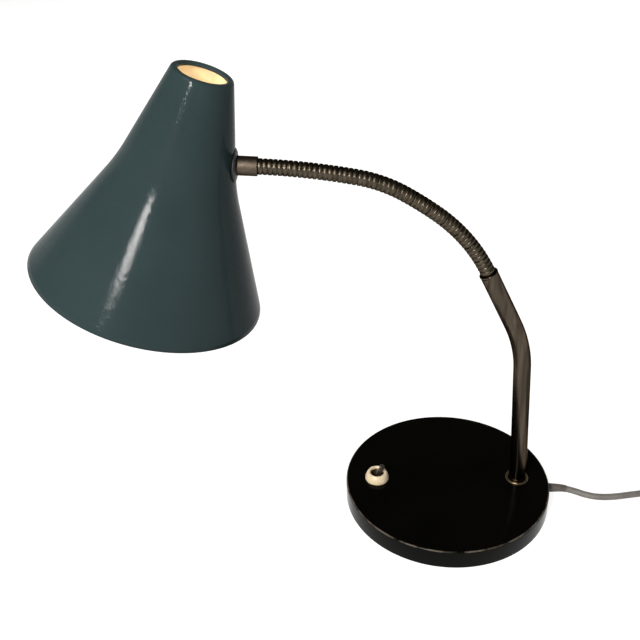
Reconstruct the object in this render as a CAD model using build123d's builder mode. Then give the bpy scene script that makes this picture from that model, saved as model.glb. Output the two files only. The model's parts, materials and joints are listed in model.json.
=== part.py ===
from build123d import *
import os
from math import cos, pi, radians, sin, sqrt, tan

# Gooseneck desk lamp, in millimetres.
# The origin is at the centre of the base's underside and +Z is up. The stem, the gooseneck and the shade
# lie in the XZ plane: the shade is towards -X, and the mains cord leaves the base at +X.

# ---- Base: an enamelled steel shell over an iron ballast ----
base_diameter = 150.0
base_height = 15.0
shell_wall = 1.5
shell_edge_radius = 1.6
shell_rim_lift = 0.4
felt_thickness = 1.0
plate_thickness = 1.0
plate_gap = 0.4
ballast_underside = 4.0
ballast_gap = 0.7
fit_gap = 0.05

plate_screw_count = 3
plate_screw_inset = 30.0
plate_screw_diameter = 3.5
plate_screw_head_diameter = 6.5
plate_screw_head_height = 0.9
plate_screw_length = 7.0
screw_head_hole_gap = 0.75

# ---- Stem: a bent tube on a threaded nipple ----
stem_inset = 23.0
stem_diameter = 12.0
stem_wall = 1.0
stem_foot_length = 12.0
stem_rake = 3.5
stem_rake_radius = 120.0
stem_shank_length = 80.0
stem_bend = 22.7
stem_bend_radius = 95.0
stem_top_length = 42.8
stem_lip_height = 1.2
stem_lip_width = 0.3
collar_diameter = 16.6
collar_height = 1.4
collar_gap = 0.3
collar_edge_radius = 0.6

thread_diameter = 9.9
thread_hole_gap = 0.2
nipple_bore = 7.0
stem_nipple_reach = 11.0
nut_width = 14.0
nut_height = 4.0
stem_web = 3.0
stem_washer_diameter = 18.0
stem_washer_thickness = 1.0
stem_pocket_diameter = 26.0
stem_nipple_foot = 4.6

# ---- Gooseneck: ribbed links, each with a ball that seats in the bore of the next ----
neck_rib_diameter = 10.1
neck_root_diameter = 8.4
rib_pitch = 3.054
ribs_per_link = 4
link_count = 14
link_gap = 1.2
ball_diameter = 6.6
ball_reach = 1.6
ball_fit = 0.06
ball_bore_depth = 2.9
lead_bore = 4.4
socket_depth = 12.0
# the course of the neck from the stem upwards: lengths of arc and how far each one turns
neck_course = ((55.0, 27.3), (23.5, 5.5), (32.0, 19.8), (60.5, 7.6))

sleeve_diameter = 12.0
sleeve_length = 12.5
sleeve_mouth_depth = 4.0
sleeve_plug_diameter = 9.2

# ---- Shade: a spun cone in two slopes with its top rim turned in ----
shade_wall = 0.8
shade_length = 145.0
shade_top_diameter = 37.1
shade_upper_angle = 16.3
shade_lower_angle = 26.0
shade_waist_radius = 144.0
shade_rim_width = 3.7
shade_lip_depth = 2.4
shade_lip_radius = 1.2
shade_corner_radius = 2.6
shade_fixing_depth = 48.4
waist_below_fixing = 17.5

saddle_diameter = 21.0
saddle_top_diameter = 17.0
saddle_thickness = 1.0
saddle_side_drop = 2.2
saddle_gap = 0.3
shade_nipple_inner_reach = 7.6
bracket_width = 16.0
bracket_thickness = 1.5
bracket_leg_drop = 8.5
bracket_nut_clearance = 1.4
bracket_arm_past_axis = 8.0
inner_washer_diameter = 15.0
inner_washer_thickness = 0.9
shade_nut_height = 2.8

# ---- Lampholder and bulb, on the shade's axis; depths are from the holder's own top ----
holder_nipple_above = 4.5
holder_nipple_below = 5.0
holder_nut_height = 2.8
holder_diameter = 38.0
holder_wall = 2.2
holder_crown_diameter = 22.0
holder_crown_bulge = 2.1
holder_shoulder_height = 10.2
holder_cap_height = 18.5
holder_crown_thickness = 4.0
skirt_height = 30.0
insert_height = 6.0
contact_height = 3.0
screw_shell_bore = 26.8
screw_shell_wall = 0.5
screw_shell_height = 22.0
screw_shell_step = 1.0
bulb_cap_diameter = 26.4
bulb_cap_height = 22.5
bulb_tip_height = 1.8
bulb_diameter = 45.0
bulb_wall = 1.0
bulb_neck_diameter = 24.0
bulb_neck_height = 10.0

# ---- Leads ----
lead_diameter = 3.8
wire_diameter = 1.8
wire_spread = 2.0
wire_floor_gap = 0.4
wire_bend_radius = 2.7
wire_top_drop = 2.0
wire_entry_run = 8.0
cord_wire_lead_in = 1.0
cord_wire_slope_run = 2.0
holder_lead_gap = 0.1
holder_lead_rise = 11.5
holder_lead_bend = 3.4
lead_hole_gap = 0.9

# ---- Toggle switch ----
switch_inset = 23.0
switch_hole_gap = 0.1
switch_bush_diameter = 12.0
switch_bush_bore = 6.2
switch_bush_mouth = 9.4
switch_bush_rise = 3.4
switch_flange_diameter = 18.0
switch_flange_thickness = 1.5
switch_flare_start = 0.5
ring_diameter = 18.5
ring_height = 6.2
ring_hole = 9.8
ring_band_height = 1.6
ring_crest_diameter = 12.6
ring_side_lean = 6.8
ring_hole_drop = 0.6
ring_crown_drop = 0.15
ring_lip = 2.6
switch_body_diameter = 23.0
switch_body_foot = 3.4
switch_pocket_diameter = 27.0
switch_cavity = (12.0, 6.6)
switch_cavity_floor = 5.5
terminal_width = 2.6
terminal_top_gap = 0.3
tag_thickness = 0.8
tag_reach = 0.9
bridge_size = (8.0, 6.0, 1.2)
bridge_slot = (3.4, 3.0)
bridge_foot = 8.4

lever_lean = 18.0
lever_pivot_drop = 1.0
lever_diameter = 3.8
lever_ball_diameter = 5.8
lever_length = 13.4
lever_tip_radius = 1.4
lever_tail_diameter = 2.4
lever_tail_length = 5.4
pivot_pin_diameter = 1.6
pivot_pin_length = 10.4
pivot_fit = 0.05
pin_seat_gap = 0.01

# ---- Mains cord, its exit, its coil and its plug ----
cord_diameter = 4.7
cord_height = 5.8
cord_rest = 2.4
cord_arc_share = 0.45
grommet_flange_diameter = 9.0
grommet_flange_thickness = 1.3
grommet_groove_diameter = 6.4
grommet_inner_flange_diameter = 7.4
grommet_flange_bevel = 0.8
grommet_tail_length = 2.6
grommet_tail_diameter = 5.8
relief_length = 14.5
relief_root_diameter = 6.8
relief_tip_diameter = 5.1
relief_sections = 4
relief_offset = 0.4
cord_pocket_width = 10.4
clamp_width = 5.0
clamp_span = 20.0
clamp_thickness = 0.7
clamp_slack = 0.3
clamp_side_gap = 0.6
clamp_flank = 0.8
clamp_inset = 9.0
clamp_hole_spare = 1.0
clamp_screw_spread = 14.0
clamp_screw_diameter = 2.5
clamp_screw_head_diameter = 4.6
clamp_screw_head_height = 1.1
clamp_screw_length = 5.0

coil_distance = 109.0
coil_side = -41.0
coil_middle_radius = 28.6
coil_turns = 9.0
coil_layers = 2
plug_body_length = 36.0
plug_flare_length = 21.6
plug_width = 26.0
plug_tail_width = 9.0
plug_thickness = 13.6
plug_edge_radius = 2.0
plug_tail_length = 20.0
plug_tail_diameter = 8.0
plug_tail_wall = 0.6
plug_gap = 7.0
pin_diameter = 4.0
pin_length = 19.0
pin_spacing = 18.6
pin_sink = 6.0
pin_tip_radius = 1.6

# ---- Worked-out sizes ----
base_radius = base_diameter / 2
stem_foot_x = base_radius - stem_inset
switch_x = switch_inset - base_radius
clamp_x = base_radius - clamp_inset
plate_screw_radius = base_radius - plate_screw_inset
shell_top_inside = base_height - shell_wall
plate_top = felt_thickness + plate_thickness
ballast_top = shell_top_inside - fit_gap
web_underside = ballast_top - stem_web
thread_radius = thread_diameter / 2
thread_hole = thread_radius + thread_hole_gap
stem_bore = stem_diameter - 2 * stem_wall
link_length = rib_pitch * ribs_per_link
cord_radius = cord_diameter / 2
coil_pitch = cord_diameter
layer_turns = coil_turns / coil_layers
coil_outer_line = coil_middle_radius + layer_turns * coil_pitch / 2
coil_outer_radius = coil_outer_line + cord_radius
coil_inner_radius = coil_middle_radius - layer_turns * coil_pitch / 2 - cord_radius
lever_pivot_height = base_height - lever_pivot_drop

# the cord's route: inside the base, out of the wall, down to the table and along it to the coil;
# each point is its distance out from the base's wall, its y and its height
cord_course = (
    (-12.5, 0.0, 5.7),
    (-5.0, 0.0, 5.8),
    (3.5, -0.2, 5.6),
    (12.0, 0.9, 4.4),
    (20.5, -0.9, 3.1),
    (29.0, -4.8, 2.4),
    (38.0, -7.0, 2.4),
    (49.0, -6.6, 2.4),
    (61.0, -4.3, 2.4),
    (73.0, -2.3, 2.4),
    (85.0, -1.4, 2.4),
    (95.0, -1.5, 2.4),
)
cord_route = [Vector(base_radius + out, y, z) for out, y, z in cord_course]
coil_centre = (base_radius + coil_distance, coil_side)


def heading_vector(heading):
    """Direction in the XZ plane, by its angle from straight up towards -X."""
    return Vector(-sin(radians(heading)), 0, cos(radians(heading)))


def turning_plane(origin, axial, across=Vector(0, 1, 0)):
    """Sketch plane whose local x is the radius and whose local y runs along an axis."""
    return Plane(origin=origin, x_dir=across, z_dir=across.cross(Vector(axial)))


def cross_plane(origin, axial, across=(0, 1, 0)):
    """Sketch plane square to an axis."""
    return Plane(origin=origin, x_dir=across, z_dir=axial)


def save(piece, name):
    piece.part.label = name
    export_step(piece.part, f"parts/{name}.step")


# ---- Where the neck and the shade lie ----
def neck_heading(along):
    """Heading of the neck at a distance from its foot."""
    heading = stem_rake + stem_bend
    for length, turn in neck_course:
        if along <= length:
            return heading + turn * along / length
        along -= length
        heading += turn
    return heading


def stem_line():
    """The stem's centre line, as edges from its foot to its top."""
    straight = Vector(0, 0, 1)
    foot = Vector(stem_foot_x, 0, base_height)
    knee = foot + straight * stem_foot_length
    with BuildLine(Plane.XZ) as line:
        riser = Line(foot, knee)
        rake = JernArc(riser @ 1, riser % 1, stem_rake_radius, stem_rake)
        shank = PolarLine(rake @ 1, stem_shank_length, direction=rake % 1)
        bend = JernArc(shank @ 1, shank % 1, stem_bend_radius, stem_bend)
        PolarLine(bend @ 1, stem_top_length, direction=bend % 1)
    return line


stem_path = stem_line()
stem_top = stem_path.wires()[0] @ 1
stem_top_heading = stem_rake + stem_bend
neck_foot = stem_top + heading_vector(stem_top_heading) * (link_gap / 2)

link_feet = [neck_foot]
link_headings = []
for number in range(link_count):
    link_headings.append(neck_heading((number + 0.5) * link_length))
    link_feet.append(link_feet[-1] + heading_vector(link_headings[-1]) * link_length)

neck_end_heading = neck_heading(link_count * link_length)
neck_out = heading_vector(neck_end_heading)
sleeve_foot = link_feet[-1]
sleeve_top = sleeve_foot + neck_out * sleeve_length
fixing_point = sleeve_top + neck_out * (saddle_thickness + fit_gap)
fixing_out = neck_out * -1

upper_slope = tan(radians(shade_upper_angle))
lower_slope = tan(radians(shade_lower_angle))
shade_tilt = 90 - neck_end_heading + shade_upper_angle
shade_right = Vector(cos(radians(shade_tilt)), 0, -sin(radians(shade_tilt)))
shade_down = Vector(-sin(radians(shade_tilt)), 0, -cos(radians(shade_tilt)))
shade_mouth_radius = shade_top_diameter / 2 - shade_rim_width
shade_waist = shade_fixing_depth + waist_below_fixing
fixing_radius = shade_top_diameter / 2 + shade_fixing_depth * upper_slope
shade_top = fixing_point - shade_right * fixing_radius - shade_down * shade_fixing_depth
waist_radius = shade_top_diameter / 2 + shade_waist * upper_slope
rim_radius = waist_radius + (shade_length - shade_waist) * lower_slope
shade_section = Plane(origin=shade_top, x_dir=shade_right, z_dir=(0, 1, 0))
shade_far_section = Plane(origin=shade_top, x_dir=shade_right * -1, z_dir=(0, -1, 0))
shade_axis = Axis(shade_top, shade_down)
saddle_curve_radius = (fixing_radius - shade_wall) / cos(radians(shade_upper_angle))
leg_bulge = saddle_curve_radius - sqrt(saddle_curve_radius**2 - (bracket_width / 2) ** 2)
leg_face = shade_wall + leg_bulge + 2 * fit_gap
nut_corner_radius = nut_width / sqrt(3)
bracket_arm_depth = shade_fixing_depth - nut_corner_radius - bracket_nut_clearance - bracket_thickness
holder_top = bracket_arm_depth + bracket_thickness + fit_gap
holder_lead_line = holder_diameter / 2 + lead_diameter / 2 + holder_lead_gap
cap_foot = holder_top + holder_cap_height
skirt_foot = cap_foot + skirt_height
bulb_foot = skirt_foot - screw_shell_height + bulb_cap_height


def along_shade(depth):
    return shade_top + shade_down * depth


def along_fixing(out):
    return fixing_point + fixing_out * out


# ---- Base ----
def make_base_shell():
    with BuildPart() as shell:
        with BuildSketch(Plane.XY.offset(shell_rim_lift)):
            Circle(base_radius)
        extrude(amount=base_height - shell_rim_lift)
        fillet(shell.edges().filter_by(GeomType.CIRCLE).sort_by(Axis.Z)[-1], shell_edge_radius)
        with BuildSketch(Plane.XY.offset(shell_rim_lift)):
            Circle(base_radius - shell_wall)
        extrude(amount=shell_top_inside - shell_rim_lift, mode=Mode.SUBTRACT)
        with BuildSketch(Plane.XY.offset(shell_top_inside)):
            with Locations((stem_foot_x, 0)):
                Circle(thread_hole)
            with Locations((switch_x, 0)):
                Circle(switch_bush_diameter / 2 + switch_hole_gap)
        extrude(amount=shell_wall, mode=Mode.SUBTRACT)
        with BuildSketch(Plane.YZ.offset(base_radius - 2 * shell_wall)):
            with Locations((0, cord_height)):
                Circle(grommet_groove_diameter / 2 + fit_gap)
        extrude(amount=2 * shell_wall, mode=Mode.SUBTRACT)
    return shell


def make_ballast():
    radius = base_radius - shell_wall - ballast_gap
    with BuildPart() as ballast:
        with BuildSketch(Plane.XY.offset(ballast_underside)):
            Circle(radius)
            with Locations((switch_x, 0)):
                Circle(switch_pocket_diameter / 2, mode=Mode.SUBTRACT)
        extrude(amount=ballast_top - ballast_underside)
        # the pocket round the stem's nut, with the way in for the cord
        with BuildSketch(Plane.XY.offset(ballast_underside)):
            with Locations((stem_foot_x, 0)):
                Circle(stem_pocket_diameter / 2)
            with Locations(((stem_foot_x + base_radius) / 2, 0)):
                Rectangle(base_radius - stem_foot_x, cord_pocket_width)
        extrude(amount=web_underside - ballast_underside, mode=Mode.SUBTRACT)
        # the channel for the switch's wires
        with BuildSketch(Plane.XY.offset(ballast_underside)):
            with Locations(((stem_foot_x + switch_x) / 2, 0)):
                Rectangle(stem_foot_x - switch_x, cord_pocket_width)
        extrude(amount=(web_underside - ballast_underside) / 2, mode=Mode.SUBTRACT)
        with Locations((stem_foot_x, 0, ballast_top)):
            Hole(thread_hole)
        with BuildSketch(Plane.XY.offset(ballast_underside)):
            with PolarLocations(plate_screw_radius, plate_screw_count, start_angle=90):
                Circle(plate_screw_diameter / 2 + fit_gap)
        extrude(amount=plate_screw_length, mode=Mode.SUBTRACT)
        with BuildSketch(Plane.XY.offset(ballast_underside)):
            with Locations((clamp_x, clamp_screw_spread / 2), (clamp_x, -clamp_screw_spread / 2)):
                Circle(clamp_screw_diameter / 2 + fit_gap)
        extrude(amount=clamp_screw_length + clamp_hole_spare, mode=Mode.SUBTRACT)
    return ballast


def make_bottom_plate():
    with BuildPart() as plate:
        with BuildSketch(Plane.XY.offset(felt_thickness)):
            Circle(base_radius - shell_wall - plate_gap)
            with PolarLocations(plate_screw_radius, plate_screw_count, start_angle=90):
                Circle(plate_screw_diameter / 2 + fit_gap, mode=Mode.SUBTRACT)
        extrude(amount=plate_thickness)
    return plate


def make_felt_pad():
    with BuildPart() as felt:
        with BuildSketch():
            Circle(base_radius - shell_wall - plate_gap)
            with PolarLocations(plate_screw_radius, plate_screw_count, start_angle=90):
                Circle(plate_screw_head_diameter / 2 + screw_head_hole_gap, mode=Mode.SUBTRACT)
        extrude(amount=felt_thickness)
    return felt


def make_plate_screws():
    with BuildPart() as screws:
        with BuildSketch(Plane.XY.offset(felt_thickness - plate_screw_head_height)):
            with PolarLocations(plate_screw_radius, plate_screw_count, start_angle=90):
                Circle(plate_screw_head_diameter / 2)
        extrude(amount=plate_screw_head_height)
        with BuildSketch(Plane.XY.offset(felt_thickness)):
            with PolarLocations(plate_screw_radius, plate_screw_count, start_angle=90):
                Circle(plate_screw_diameter / 2)
        extrude(amount=plate_screw_length)
    return screws


# ---- Stem ----
def make_stem_tube():
    foot = Plane.XY.offset(base_height).move(Location((stem_foot_x, 0, 0)))
    lip_foot = stem_top - heading_vector(stem_top_heading) * stem_lip_height
    with BuildPart() as tube:
        with BuildSketch(foot):
            Circle(stem_diameter / 2)
            Circle(stem_bore / 2, mode=Mode.SUBTRACT)
        sweep(path=stem_path.wires()[0])
        # the top edge is crimped outwards a little
        with BuildSketch(cross_plane(lip_foot, heading_vector(stem_top_heading))):
            Circle(stem_diameter / 2 + stem_lip_width)
            Circle(stem_diameter / 2 - stem_wall / 2, mode=Mode.SUBTRACT)
        extrude(amount=stem_lip_height)
    return tube


def make_stem_collar():
    with BuildPart() as collar:
        with BuildSketch(Plane.XY.offset(base_height)):
            with Locations((stem_foot_x, 0)):
                Circle(collar_diameter / 2)
                Circle(stem_diameter / 2 + collar_gap, mode=Mode.SUBTRACT)
        extrude(amount=collar_height)
        top_edges = collar.edges().group_by(Axis.Z)[-1]
        fillet(top_edges.sort_by(SortBy.RADIUS)[-1], collar_edge_radius)
    return collar


def make_stem_nipple():
    with BuildPart() as nipple:
        with BuildSketch(Plane.XY.offset(stem_nipple_foot)):
            with Locations((stem_foot_x, 0)):
                Circle(thread_radius)
                Circle(nipple_bore / 2, mode=Mode.SUBTRACT)
        extrude(amount=base_height + stem_nipple_reach - stem_nipple_foot)
    return nipple


def make_stem_washer():
    with BuildPart() as washer:
        with BuildSketch(Plane.XY.offset(web_underside - stem_washer_thickness)):
            with Locations((stem_foot_x, 0)):
                Circle(stem_washer_diameter / 2)
                Circle(thread_hole, mode=Mode.SUBTRACT)
        extrude(amount=stem_washer_thickness)
    return washer


def make_nut(plane, height):
    """Hexagon nut that stands on a plane."""
    with BuildPart() as nut:
        with BuildSketch(plane):
            RegularPolygon(nut_width / 2, 6, major_radius=False, rotation=30)
            Circle(thread_radius + fit_gap, mode=Mode.SUBTRACT)
        extrude(amount=height)
    return nut


def make_neck_socket():
    """Plug in the stem's top that carries the ball of the first joint."""
    axial = heading_vector(stem_top_heading)
    plug_radius = stem_bore / 2 - fit_gap
    with BuildPart() as socket:
        with BuildSketch(turning_plane(neck_foot, axial)):
            with BuildLine():
                Polyline(
                    (lead_bore / 2, ball_reach),
                    (lead_bore / 2, -socket_depth),
                    (plug_radius, -socket_depth),
                    (plug_radius, -link_gap / 2),
                    (ball_edge(-link_gap / 2), -link_gap / 2),
                )
                add_ball_arc(0)
                Line((ball_edge(ball_reach), ball_reach), (lead_bore / 2, ball_reach))
            make_face()
        revolve(axis=Axis(neck_foot, axial))
    return socket


# ---- Gooseneck ----
def ball_edge(height):
    """Radius of the ball at a height above its centre."""
    return sqrt((ball_diameter / 2) ** 2 - height**2)


def add_ball_arc(centre):
    low = -link_gap / 2
    ThreePointArc(
        (ball_edge(low), centre + low),
        (ball_diameter / 2, centre),
        (ball_edge(ball_reach), centre + ball_reach),
    )


def rib_edge(offset):
    """Radius of a rib's flank at a distance from its crest."""
    depth = (neck_rib_diameter - neck_root_diameter) / 2
    return neck_rib_diameter / 2 - depth * abs(offset) / (rib_pitch / 2)


def rib_points(low, high):
    """Outline of the ribs side by side, the first and last cut off at low and high."""
    points = []
    for rib in range(ribs_per_link):
        crest = (rib + 0.5) * rib_pitch
        start = max(low, crest - rib_pitch / 2)
        points.append((rib_edge(start - crest), start))
        points.append((rib_edge(0), crest))
    points.append((rib_edge(high - crest), high))
    return points


def make_neck_link(foot, axial, is_last):
    """One link: ribs outside, the bore for the last link's ball below and its own ball above."""
    low = link_gap / 2
    high = link_length if is_last else link_length - link_gap / 2
    bore = ball_diameter / 2 + ball_fit
    with BuildPart() as link:
        with BuildSketch(turning_plane(foot, axial)):
            with BuildLine():
                Polyline((bore, low), *rib_points(low, high))
                if is_last:
                    plug = sleeve_plug_diameter / 2
                    top = link_length + sleeve_mouth_depth - fit_gap
                    Polyline((rib_edge(rib_pitch / 2), high), (plug, high), (plug, top), (lead_bore / 2, top))
                else:
                    top = link_length + ball_reach
                    neck = ball_edge(link_gap / 2)
                    Line((rib_edge(rib_pitch / 2 - link_gap / 2), high), (neck, high))
                    add_ball_arc(link_length)
                    Line((ball_edge(ball_reach), top), (lead_bore / 2, top))
                Polyline(
                    (lead_bore / 2, top), (lead_bore / 2, ball_bore_depth), (bore, ball_bore_depth), (bore, low)
                )
            make_face()
        revolve(axis=Axis(foot, axial))
    return link


def make_neck_sleeve():
    """Smooth sleeve that holds the last link and the shade's nipple."""
    mouth = neck_rib_diameter / 2 + fit_gap
    with BuildPart() as sleeve:
        with BuildSketch(turning_plane(sleeve_foot, neck_out)):
            with BuildLine():
                Polyline(
                    (sleeve_plug_diameter / 2 + fit_gap, 0),
                    (sleeve_diameter / 2, 0),
                    (sleeve_diameter / 2, sleeve_length),
                    (thread_radius + fit_gap, sleeve_length),
                    (thread_radius + fit_gap, sleeve_mouth_depth),
                    (sleeve_plug_diameter / 2 + fit_gap, sleeve_mouth_depth),
                    close=True,
                )
            make_face()
        revolve(axis=Axis(sleeve_foot, neck_out))
    return sleeve


# ---- Shade and its fixing ----
def make_shade():
    with BuildPart() as shade:
        with BuildSketch(shade_far_section):
            with BuildLine():
                outside = FilletPolyline(
                    (shade_mouth_radius, shade_lip_depth),
                    (shade_mouth_radius, 0),
                    (shade_top_diameter / 2, 0),
                    (waist_radius, shade_waist),
                    (rim_radius, shade_length),
                    radius=[shade_lip_radius, shade_corner_radius, shade_waist_radius],
                )
                offset(outside, amount=shade_wall, side=Side.RIGHT)
            make_face()
        revolve(axis=shade_axis)
        with BuildSketch(cross_plane(along_fixing(-4 * shade_wall), fixing_out)):
            Circle(thread_hole)
        extrude(amount=5 * shade_wall, mode=Mode.SUBTRACT)
    return shade


def make_saddle_washer():
    """Domed washer whose underside follows the shade's cone."""
    low = shade_fixing_depth - saddle_diameter
    high = shade_fixing_depth + saddle_diameter
    foot_line = shade_top_diameter / 2 + saddle_gap
    with BuildPart() as washer:
        with BuildSketch(turning_plane(fixing_point, fixing_out)):
            with BuildLine():
                Polyline(
                    (thread_hole, -saddle_side_drop),
                    (saddle_diameter / 2, -saddle_side_drop),
                    (saddle_diameter / 2, 0),
                    (saddle_top_diameter / 2, saddle_thickness),
                    (thread_hole, saddle_thickness),
                    close=True,
                )
            make_face()
        revolve(axis=Axis(fixing_point, fixing_out))
        with BuildSketch(shade_far_section):
            with BuildLine():
                Polyline(
                    (0, low),
                    (foot_line + low * upper_slope, low),
                    (foot_line + high * upper_slope, high),
                    (0, high),
                    close=True,
                )
            make_face()
        revolve(axis=shade_axis, mode=Mode.SUBTRACT)
    return washer


def make_shade_nipple():
    with BuildPart() as nipple:
        with BuildSketch(cross_plane(along_fixing(-shade_nipple_inner_reach), fixing_out)):
            Circle(thread_radius)
            Circle(nipple_bore / 2, mode=Mode.SUBTRACT)
        length = shade_nipple_inner_reach + saddle_thickness + fit_gap
        extrude(amount=length + sleeve_length - sleeve_mouth_depth - fit_gap)
    return nipple


def make_bracket():
    """Angle bracket: its leg stands against the shade's wall and its arm reaches past the axis."""
    leg_rise = (shade_fixing_depth - bracket_arm_depth) / cos(radians(shade_upper_angle))
    arm_root = fixing_radius - leg_face - (shade_fixing_depth - bracket_arm_depth) * upper_slope
    lead_radius = lead_diameter / 2 + lead_hole_gap
    with BuildPart() as bracket:
        with BuildSketch(cross_plane(along_fixing(-leg_face), fixing_out * -1, (0, -1, 0))):
            with Locations((0, (leg_rise - bracket_leg_drop) / 2)):
                Rectangle(bracket_width, leg_rise + bracket_leg_drop)
        extrude(amount=bracket_thickness)
        with BuildSketch(cross_plane(along_shade(bracket_arm_depth), shade_down)):
            with Locations((0, (arm_root - bracket_arm_past_axis) / 2)):
                Rectangle(bracket_width, arm_root + bracket_arm_past_axis)
        extrude(amount=bracket_thickness)
        with BuildSketch(cross_plane(along_fixing(-leg_face), fixing_out * -1)):
            Circle(thread_hole)
        extrude(amount=bracket_thickness, mode=Mode.SUBTRACT)
        with BuildSketch(cross_plane(along_shade(bracket_arm_depth), shade_down)):
            Circle(thread_hole)
            with Locations((0, holder_lead_line)):
                Circle(lead_radius)
        extrude(amount=bracket_thickness, mode=Mode.SUBTRACT)
    return bracket


def make_inner_washer():
    face = leg_face + bracket_thickness + fit_gap
    with BuildPart() as washer:
        with BuildSketch(cross_plane(along_fixing(-face), fixing_out * -1)):
            Circle(inner_washer_diameter / 2)
            Circle(thread_hole, mode=Mode.SUBTRACT)
        extrude(amount=inner_washer_thickness)
    return washer


def make_shade_nut():
    face = leg_face + bracket_thickness + inner_washer_thickness + 2 * fit_gap
    return make_nut(cross_plane(along_fixing(-face), fixing_out * -1), shade_nut_height)


# ---- Lampholder and bulb ----
def make_holder_nipple():
    start = bracket_arm_depth - holder_nipple_above
    with BuildPart() as nipple:
        with BuildSketch(cross_plane(along_shade(start), shade_down)):
            Circle(thread_radius)
            Circle(nipple_bore / 2, mode=Mode.SUBTRACT)
        extrude(amount=holder_nipple_above + bracket_thickness + holder_nipple_below)
    return nipple


def make_holder_nut():
    start = bracket_arm_depth - fit_gap - holder_nut_height
    return make_nut(cross_plane(along_shade(start), shade_down), holder_nut_height)


def make_holder_cap():
    outer = holder_diameter / 2
    shoulder = holder_top + holder_shoulder_height
    crown = holder_crown_diameter / 2
    with BuildPart() as cap:
        with BuildSketch(shade_section):
            with BuildLine():
                Line((thread_radius + fit_gap, holder_top), (crown, holder_top))
                SagittaArc((crown, holder_top), (outer, shoulder), -holder_crown_bulge)
                Polyline(
                    (outer, shoulder),
                    (outer, cap_foot),
                    (outer - holder_wall, cap_foot),
                    (outer - holder_wall, shoulder),
                    (crown, holder_top + holder_crown_thickness),
                    (thread_radius + fit_gap, holder_top + holder_crown_thickness),
                    (thread_radius + fit_gap, holder_top),
                )
            make_face()
        revolve(axis=shade_axis)
    return cap


def make_holder_skirt():
    with BuildPart() as skirt:
        with BuildSketch(cross_plane(along_shade(cap_foot + fit_gap), shade_down)):
            Circle(holder_diameter / 2)
            Circle(screw_shell_bore / 2 + screw_shell_wall + fit_gap, mode=Mode.SUBTRACT)
        extrude(amount=skirt_height - fit_gap)
        chamfer(skirt.faces().sort_by(Axis.Z)[0].edges().sort_by(SortBy.RADIUS)[-1], holder_wall / 2)
    return skirt


def make_holder_insert():
    start = skirt_foot - screw_shell_height - insert_height - fit_gap
    with BuildPart() as insert:
        with BuildSketch(cross_plane(along_shade(start), shade_down)):
            Circle(screw_shell_bore / 2 + screw_shell_wall)
            Circle(nipple_bore / 2, mode=Mode.SUBTRACT)
        extrude(amount=insert_height)
    return insert


def make_screw_shell():
    with BuildPart() as shell:
        with BuildSketch(cross_plane(along_shade(skirt_foot - screw_shell_height), shade_down)):
            Circle(screw_shell_bore / 2 + screw_shell_wall)
            Circle(screw_shell_bore / 2, mode=Mode.SUBTRACT)
        extrude(amount=screw_shell_height - screw_shell_step)
    return shell


def make_centre_contact():
    seat = skirt_foot - screw_shell_height
    with BuildPart() as contact:
        with BuildSketch(cross_plane(along_shade(seat - contact_height), shade_down)):
            Circle(nipple_bore / 2 - fit_gap)
        extrude(amount=contact_height)
    return contact


def make_bulb_cap():
    seat = skirt_foot - screw_shell_height + fit_gap
    radius = bulb_cap_diameter / 2
    with BuildPart() as cap:
        with BuildSketch(shade_section):
            with BuildLine():
                Polyline(
                    (0, seat),
                    (nipple_bore / 2, seat),
                    (radius, seat + bulb_tip_height),
                    (radius, bulb_foot),
                    (0, bulb_foot),
                    close=True,
                )
            make_face()
        revolve(axis=shade_axis)
    return cap


def make_bulb_glass():
    neck = bulb_neck_diameter / 2
    globe = bulb_diameter / 2
    foot = bulb_foot + fit_gap
    globe_centre = foot + bulb_neck_height + sqrt(globe**2 - neck**2)
    with BuildPart() as glass:
        with BuildSketch(shade_section):
            with Locations((0, globe_centre)):
                Circle(globe)
            with Locations((0, (foot + globe_centre) / 2)):
                Rectangle(2 * neck, globe_centre - foot)
            with Locations((0, globe_centre)):
                Circle(globe - bulb_wall, mode=Mode.SUBTRACT)
            with Locations((0, (foot + globe_centre) / 2)):
                Rectangle(2 * (neck - bulb_wall), globe_centre - foot, mode=Mode.SUBTRACT)
            with Locations((-globe, globe_centre)):
                Rectangle(2 * globe, 4 * globe, mode=Mode.SUBTRACT)
        revolve(axis=shade_axis)
    return glass


def make_holder_lead():
    """Lead from the shade's nipple, up through the arm and down into the lampholder."""
    lean = radians(shade_upper_angle)
    start = shade_nipple_inner_reach / 2
    top = bracket_arm_depth - holder_lead_rise
    with BuildPart() as lead:
        with BuildLine(shade_section) as path:
            FilletPolyline(
                (fixing_radius - start * cos(lean), shade_fixing_depth + start * sin(lean)),
                (holder_lead_line, shade_fixing_depth + (fixing_radius - holder_lead_line) * tan(lean)),
                (holder_lead_line, top),
                (0, top),
                (0, bracket_arm_depth),
                radius=holder_lead_bend,
            )
        with BuildSketch(cross_plane(path.wires()[0] @ 0, path.wires()[0] % 0)):
            Circle(lead_diameter / 2)
        sweep(path=path.wires()[0])
    return lead


def make_stem_lead():
    """Lead that runs up the middle of the stem."""
    with BuildPart() as lead:
        with BuildSketch(Plane.XY.offset(base_height).move(Location((stem_foot_x, 0, 0)))):
            Circle(lead_diameter / 2)
        sweep(path=stem_path.wires()[0])
    return lead


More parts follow.
